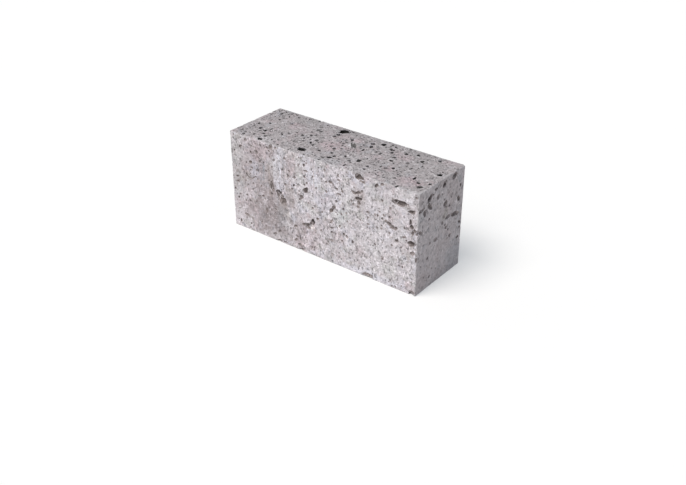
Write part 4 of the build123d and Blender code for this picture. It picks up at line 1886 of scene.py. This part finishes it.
    def sanded(
        self, bench: NodeBench, finish: ConcreteFinish, colour: Any, sand: Any, relief: Any, rugged: Any
    ) -> Any:
        """Show the sand and the relief of a finish as a tone of its colour.

        Args:
            bench: The material's nodes.
            finish: The finish.
            colour: The colour so far.
            sand: What the sand grain group gives.
            relief: The height of the relief, about 0.
            rugged: The share of the sand that shows.

        Returns:
            The colour.
        """
        grains = bench.math("MULTIPLY", sand["Shade"], finish.contrast)
        grains = bench.math("MULTIPLY_ADD", sand["Dark"], -finish.dark_grain, grains)
        grains = bench.math("MULTIPLY_ADD", sand["Pale"], finish.pale_grain, grains)
        tone = bench.math("MULTIPLY_ADD", grains, rugged, 1.0)
        # The relief shows in the colour as well: its low places are darker and its high places lighter
        tone = bench.math("MULTIPLY_ADD", relief, finish.relief_contrast, tone)
        return bench.mix(1.0, colour, tone, "MULTIPLY")

    def aged(self, bench: NodeBench, finish: ConcreteFinish, colour: Any, place: Any, holes: Any) -> Any:
        """Show the worn arrises of a finish in its colour, with painted shade in its pinholes and in the
        depths of its hollows.

        Args:
            bench: The material's nodes.
            finish: The finish.
            colour: The colour so far.
            place: The place on the block, in millimetres.
            holes: The mask of the pinholes.

        Returns:
            The colour.
        """
        worn = self.worn.place(bench, place=place, band=finish.wear_band)[0]
        colour = bench.mix(bench.math("MULTIPLY", worn, finish.wear_share), colour, finish.wear)
        # Painted shade in the pinholes
        colour = bench.mix(bench.math("MULTIPLY", holes, finish.pinhole_shade_share), colour, finish.pinhole_shade)
        # Painted shade: each hollow's wall darkens with its depth below the skin
        deep = self.deep.place(bench, reach=finish.hollow_shade_reach)[0]
        return bench.mix(bench.math("MULTIPLY", deep, finish.hollow_shade_share), colour, finish.hollow)


@dataclass
class ConcreteBrick:
    """The brick: its worn skin, the hollows cut into it, and its finishes."""

    block: Block
    name: str = "concrete_brick"
    node: str = NODE
    slot: str = "concrete"
    seed: int = 20
    crease: float = 38.0
    wall_share: float = 0.5

    def bubbles(self) -> list[Bubble]:
        """Collect the bubbles of every air void, broken arris, nick and pore.

        Returns:
            The bubbles.
        """
        rng = random.Random(self.seed)
        rim = TornRim()
        found: list[Bubble] = []
        for face, hollows in VOIDS.items():
            for hollow in hollows:
                found += [self.block.void(face, part) for part in [hollow, *rim.lobes(hollow, rng)]]
        found += [self.block.chip(arris, chip) for arris, chips in CHIPS.items() for chip in chips]
        found += ArrisNicks().scatter(self.block, rng)
        for face, pores in PORES.items():
            found += pores.scatter(face, self.block, found, rng)
        return found

    def build(self) -> bpy.types.Object:
        """Make the brick's mesh.

        Returns:
            The brick, as one closed mesh object.
        """
        piece = BrickSkin(self.block, ArrisWear(), SkinRelief()).build(self.name)
        bubbles = self.bubbles()
        BubbleCutter().cut(piece, bubbles)
        log.info("%s: %d hollows, %d faces", self.name, len(bubbles), len(piece.data.polygons))
        self.mark_depths(piece.data)
        piece.data.polygons.foreach_set("use_smooth", [True] * len(piece.data.polygons))
        piece.data.set_sharp_from_angle(angle=math.radians(self.crease))
        return piece

    def mark_depths(self, mesh: bpy.types.Mesh) -> None:
        """Keep on each point how far it lies below the skin, and from the nearest arris.

        Args:
            mesh: The brick's mesh.
        """
        points = vectors_of(mesh.vertices, "co") / MM
        from_low = points - np.array(self.block.low)
        from_high = np.array(self.block.high) - points
        distances = np.sort(np.minimum(from_low, from_high), axis=1)
        # The depth below the skin drives the painted shade in the hollows
        mark(mesh, HOLLOW_DEPTH, distances[:, 0])
        mark(mesh, ARRIS_DISTANCE, distances[:, 1])

    def dress(self, piece: bpy.types.Object, shop: FinishShop) -> None:
        """Give each part of the brick its finish.

        Args:
            piece: The brick.
            shop: Where the materials are made.
        """
        mesh = piece.data
        finishes = list(dict.fromkeys([*FINISH_OF_FACE.values(), *FINISH_OF_HOLLOW.values()]))
        mesh.materials.clear()
        for finish in finishes:
            mesh.materials.append(shop.material(finish))
        outs = np.array([face.out for face in Face])
        levels = np.array([face.out.dot(self.block.spot(face, 0, 0)) for face in Face])
        facing = np.argmax(vectors_of(mesh.polygons, "normal") @ outs.T, axis=1)
        nearest = np.argmin(levels - vectors_of(mesh.polygons, "center") / MM @ outs.T, axis=1)
        skin = np.array([finishes.index(FINISH_OF_FACE[face]) for face in Face])
        torn = np.array([finishes.index(FINISH_OF_HOLLOW[face]) for face in Face])
        walls = self.wall_numbers(mesh)
        owner = np.where(walls == ARRIS_NUMBER, nearest, walls - 1)
        chosen = np.where(walls > 0, torn[owner], skin[facing])
        mesh.polygons.foreach_set("material_index", chosen.astype(np.int32))

    def wall_numbers(self, mesh: bpy.types.Mesh) -> np.ndarray:
        """Find the wall number of each face of the mesh: 0 on the skin, and a bubble's own in a hollow.

        Args:
            mesh: The brick's mesh.

        Returns:
            A number for each face.
        """
        of_points = numbers_of(mesh.attributes[WALL_NUMBER].data, "value", np.float32)
        of_corners = of_points[numbers_of(mesh.loops, "vertex_index")]
        starts = numbers_of(mesh.polygons, "loop_start")
        corner_counts = numbers_of(mesh.polygons, "loop_total")
        on_wall = (of_corners > self.wall_share).astype(float)
        in_hollow = np.add.reduceat(on_wall, starts) / corner_counts > self.wall_share
        largest = np.maximum.reduceat(of_corners, starts)
        return np.where(in_hollow, largest.round().astype(int), 0)

    def fit(self, piece: bpy.types.Object) -> None:
        """Let the piece stand for its node and ride on the block's body.

        Args:
            piece: The brick.
        """
        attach(piece, "root")
        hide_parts(self.node)


def way_to(azimuth: float, elevation: float) -> Vector:
    """The way from the brick to a thing round it.

    Args:
        azimuth: Degrees from straight in front of the front face, towards the right end.
        elevation: Degrees above the floor.

    Returns:
        The way, of length 1.
    """
    turn = math.radians(azimuth)
    rise = math.radians(elevation)
    return Vector((math.sin(turn) * math.cos(rise), -math.cos(turn) * math.cos(rise), math.sin(rise)))


@dataclass(frozen=True)
class SoftLight:
    """One wide, far light, such as a large soft box gives."""

    name: str
    azimuth: float
    elevation: float
    strength: float
    spread: float = 30.0
    colour: tuple[float, float, float] = (1.0, 0.985, 0.965)

    def build(self) -> None:
        """Hang the light and point it at the brick."""
        lamp = bpy.data.lights.new(self.name, "SUN")
        lamp.angle = math.radians(self.spread)
        lamp.energy = self.strength
        lamp.color = self.colour
        holder = bpy.data.objects.new(self.name, lamp)
        holder.rotation_euler = (-way_to(self.azimuth, self.elevation)).to_track_quat("-Z", "Y").to_euler()
        bpy.context.scene.collection.objects.link(holder)


KEY_LIGHT = SoftLight("key_light", -30.0, 62.0, 1.78)
FILL_LIGHT = SoftLight("fill_light", 0.0, 50.0, 0.67)


@dataclass
class Studio:
    """The white floor, the soft lights, the sky and the camera."""

    floor_size: float = 12.0
    floor_colour: Colour = (0.668, 0.646, 0.621, 1.0)
    floor_glow: Colour = (0.350, 0.362, 0.376, 1.0)
    sky: Colour = (0.88, 0.95, 1.03, 1.0)
    sky_strength: float = 0.361
    backdrop: Colour = (1.0, 1.0, 1.0, 1.0)
    azimuth: float = 37.934
    elevation: float = 30.247
    distance: float = 0.8591
    focal_pixels: float = 912.84
    sensor_width: float = 36.0
    lights: tuple[SoftLight, ...] = (KEY_LIGHT, FILL_LIGHT)

    def build(self) -> None:
        """Set up the whole studio."""
        scene = bpy.context.scene
        scene.view_settings.view_transform = "Standard"
        self.build_floor()
        self.build_sky()
        self.build_camera()
        for light in self.lights:
            light.build()

    def seen_ray(self, bench: NodeBench) -> bpy.types.NodeSocket:
        """Tell the rays that show the studio from those that light it.

        Args:
            bench: The nodes of the floor or the sky.

        Returns:
            1 for a camera, glossy or transmission ray, and 0 for any other.
        """
        path = bench.add("ShaderNodeLightPath").outputs
        gloss = bench.math("MAXIMUM", path["Is Glossy Ray"], path["Is Transmission Ray"])
        return bench.math("MAXIMUM", path["Is Camera Ray"], gloss)

    def build_floor(self) -> None:
        """Lay a pale floor that shows white and keeps the brick's shadow."""
        mesh = bpy.data.meshes.new("floor")
        half = self.floor_size / 2
        corners = [(-half, -half, 0), (half, -half, 0), (half, half, 0), (-half, half, 0)]
        mesh.from_pydata(corners, [], [tuple(range(len(corners)))])
        floor = bpy.data.objects.new("floor", mesh)
        bpy.context.scene.collection.objects.link(floor)
        material = bpy.data.materials.new("studio_floor")
        material.use_nodes = True
        nodes = material.node_tree.nodes
        nodes.remove(nodes["Principled BSDF"])
        bench = NodeBench(material.node_tree)
        matt = bench.add("ShaderNodeBsdfDiffuse", {"Color": self.floor_colour})
        seen = self.seen_ray(bench)
        glow = bench.add("ShaderNodeEmission", {"Color": self.floor_glow, "Strength": seen})
        both = bench.add("ShaderNodeAddShader", {0: matt.outputs[0], 1: glow.outputs[0]})
        material.node_tree.links.new(both.outputs[0], nodes["Material Output"].inputs["Surface"])
        mesh.materials.append(material)

    def build_sky(self) -> None:
        """Light the studio softly from all round, and show white behind the floor."""
        world = bpy.data.worlds.new("studio_sky")
        world.use_nodes = True
        bench = NodeBench(world.node_tree)
        nodes = world.node_tree.nodes
        soft = nodes["Background"]
        soft.inputs["Color"].default_value = self.sky
        soft.inputs["Strength"].default_value = self.sky_strength
        white = bench.add("ShaderNodeBackground", {"Color": self.backdrop, "Strength": 1.0})
        seen = self.seen_ray(bench)
        both = bench.add("ShaderNodeMixShader", {0: seen, 1: soft.outputs[0], 2: white.outputs[0]})
        world.node_tree.links.new(both.outputs[0], nodes["World Output"].inputs["Surface"])
        bpy.context.scene.world = world

    def build_camera(self) -> None:
        """Put the camera where the photo was taken from."""
        data = bpy.data.cameras.new("camera")
        data.sensor_width = self.sensor_width
        data.lens = self.sensor_width * self.focal_pixels / PHOTO_WIDTH
        camera = bpy.data.objects.new("camera", data)
        away = way_to(self.azimuth, self.elevation)
        camera.location = self.distance * away
        camera.rotation_euler = (-away).to_track_quat("-Z", "Y").to_euler()
        bpy.context.scene.collection.objects.link(camera)
        bpy.context.scene.camera = camera


def main() -> None:
    """Build the brick and the studio in order."""
    logging.basicConfig(level=logging.INFO, format="%(name)s: %(message)s")
    brick = ConcreteBrick(Block.of_node(NODE))
    piece = brick.build()
    brick.dress(piece, FinishShop(brick.block))
    brick.fit(piece)
    log.info("%s stands for node %s", piece.name, brick.node)
    Studio().build()
    log.info("studio is set up")


if __name__ == "__main__":
    main()
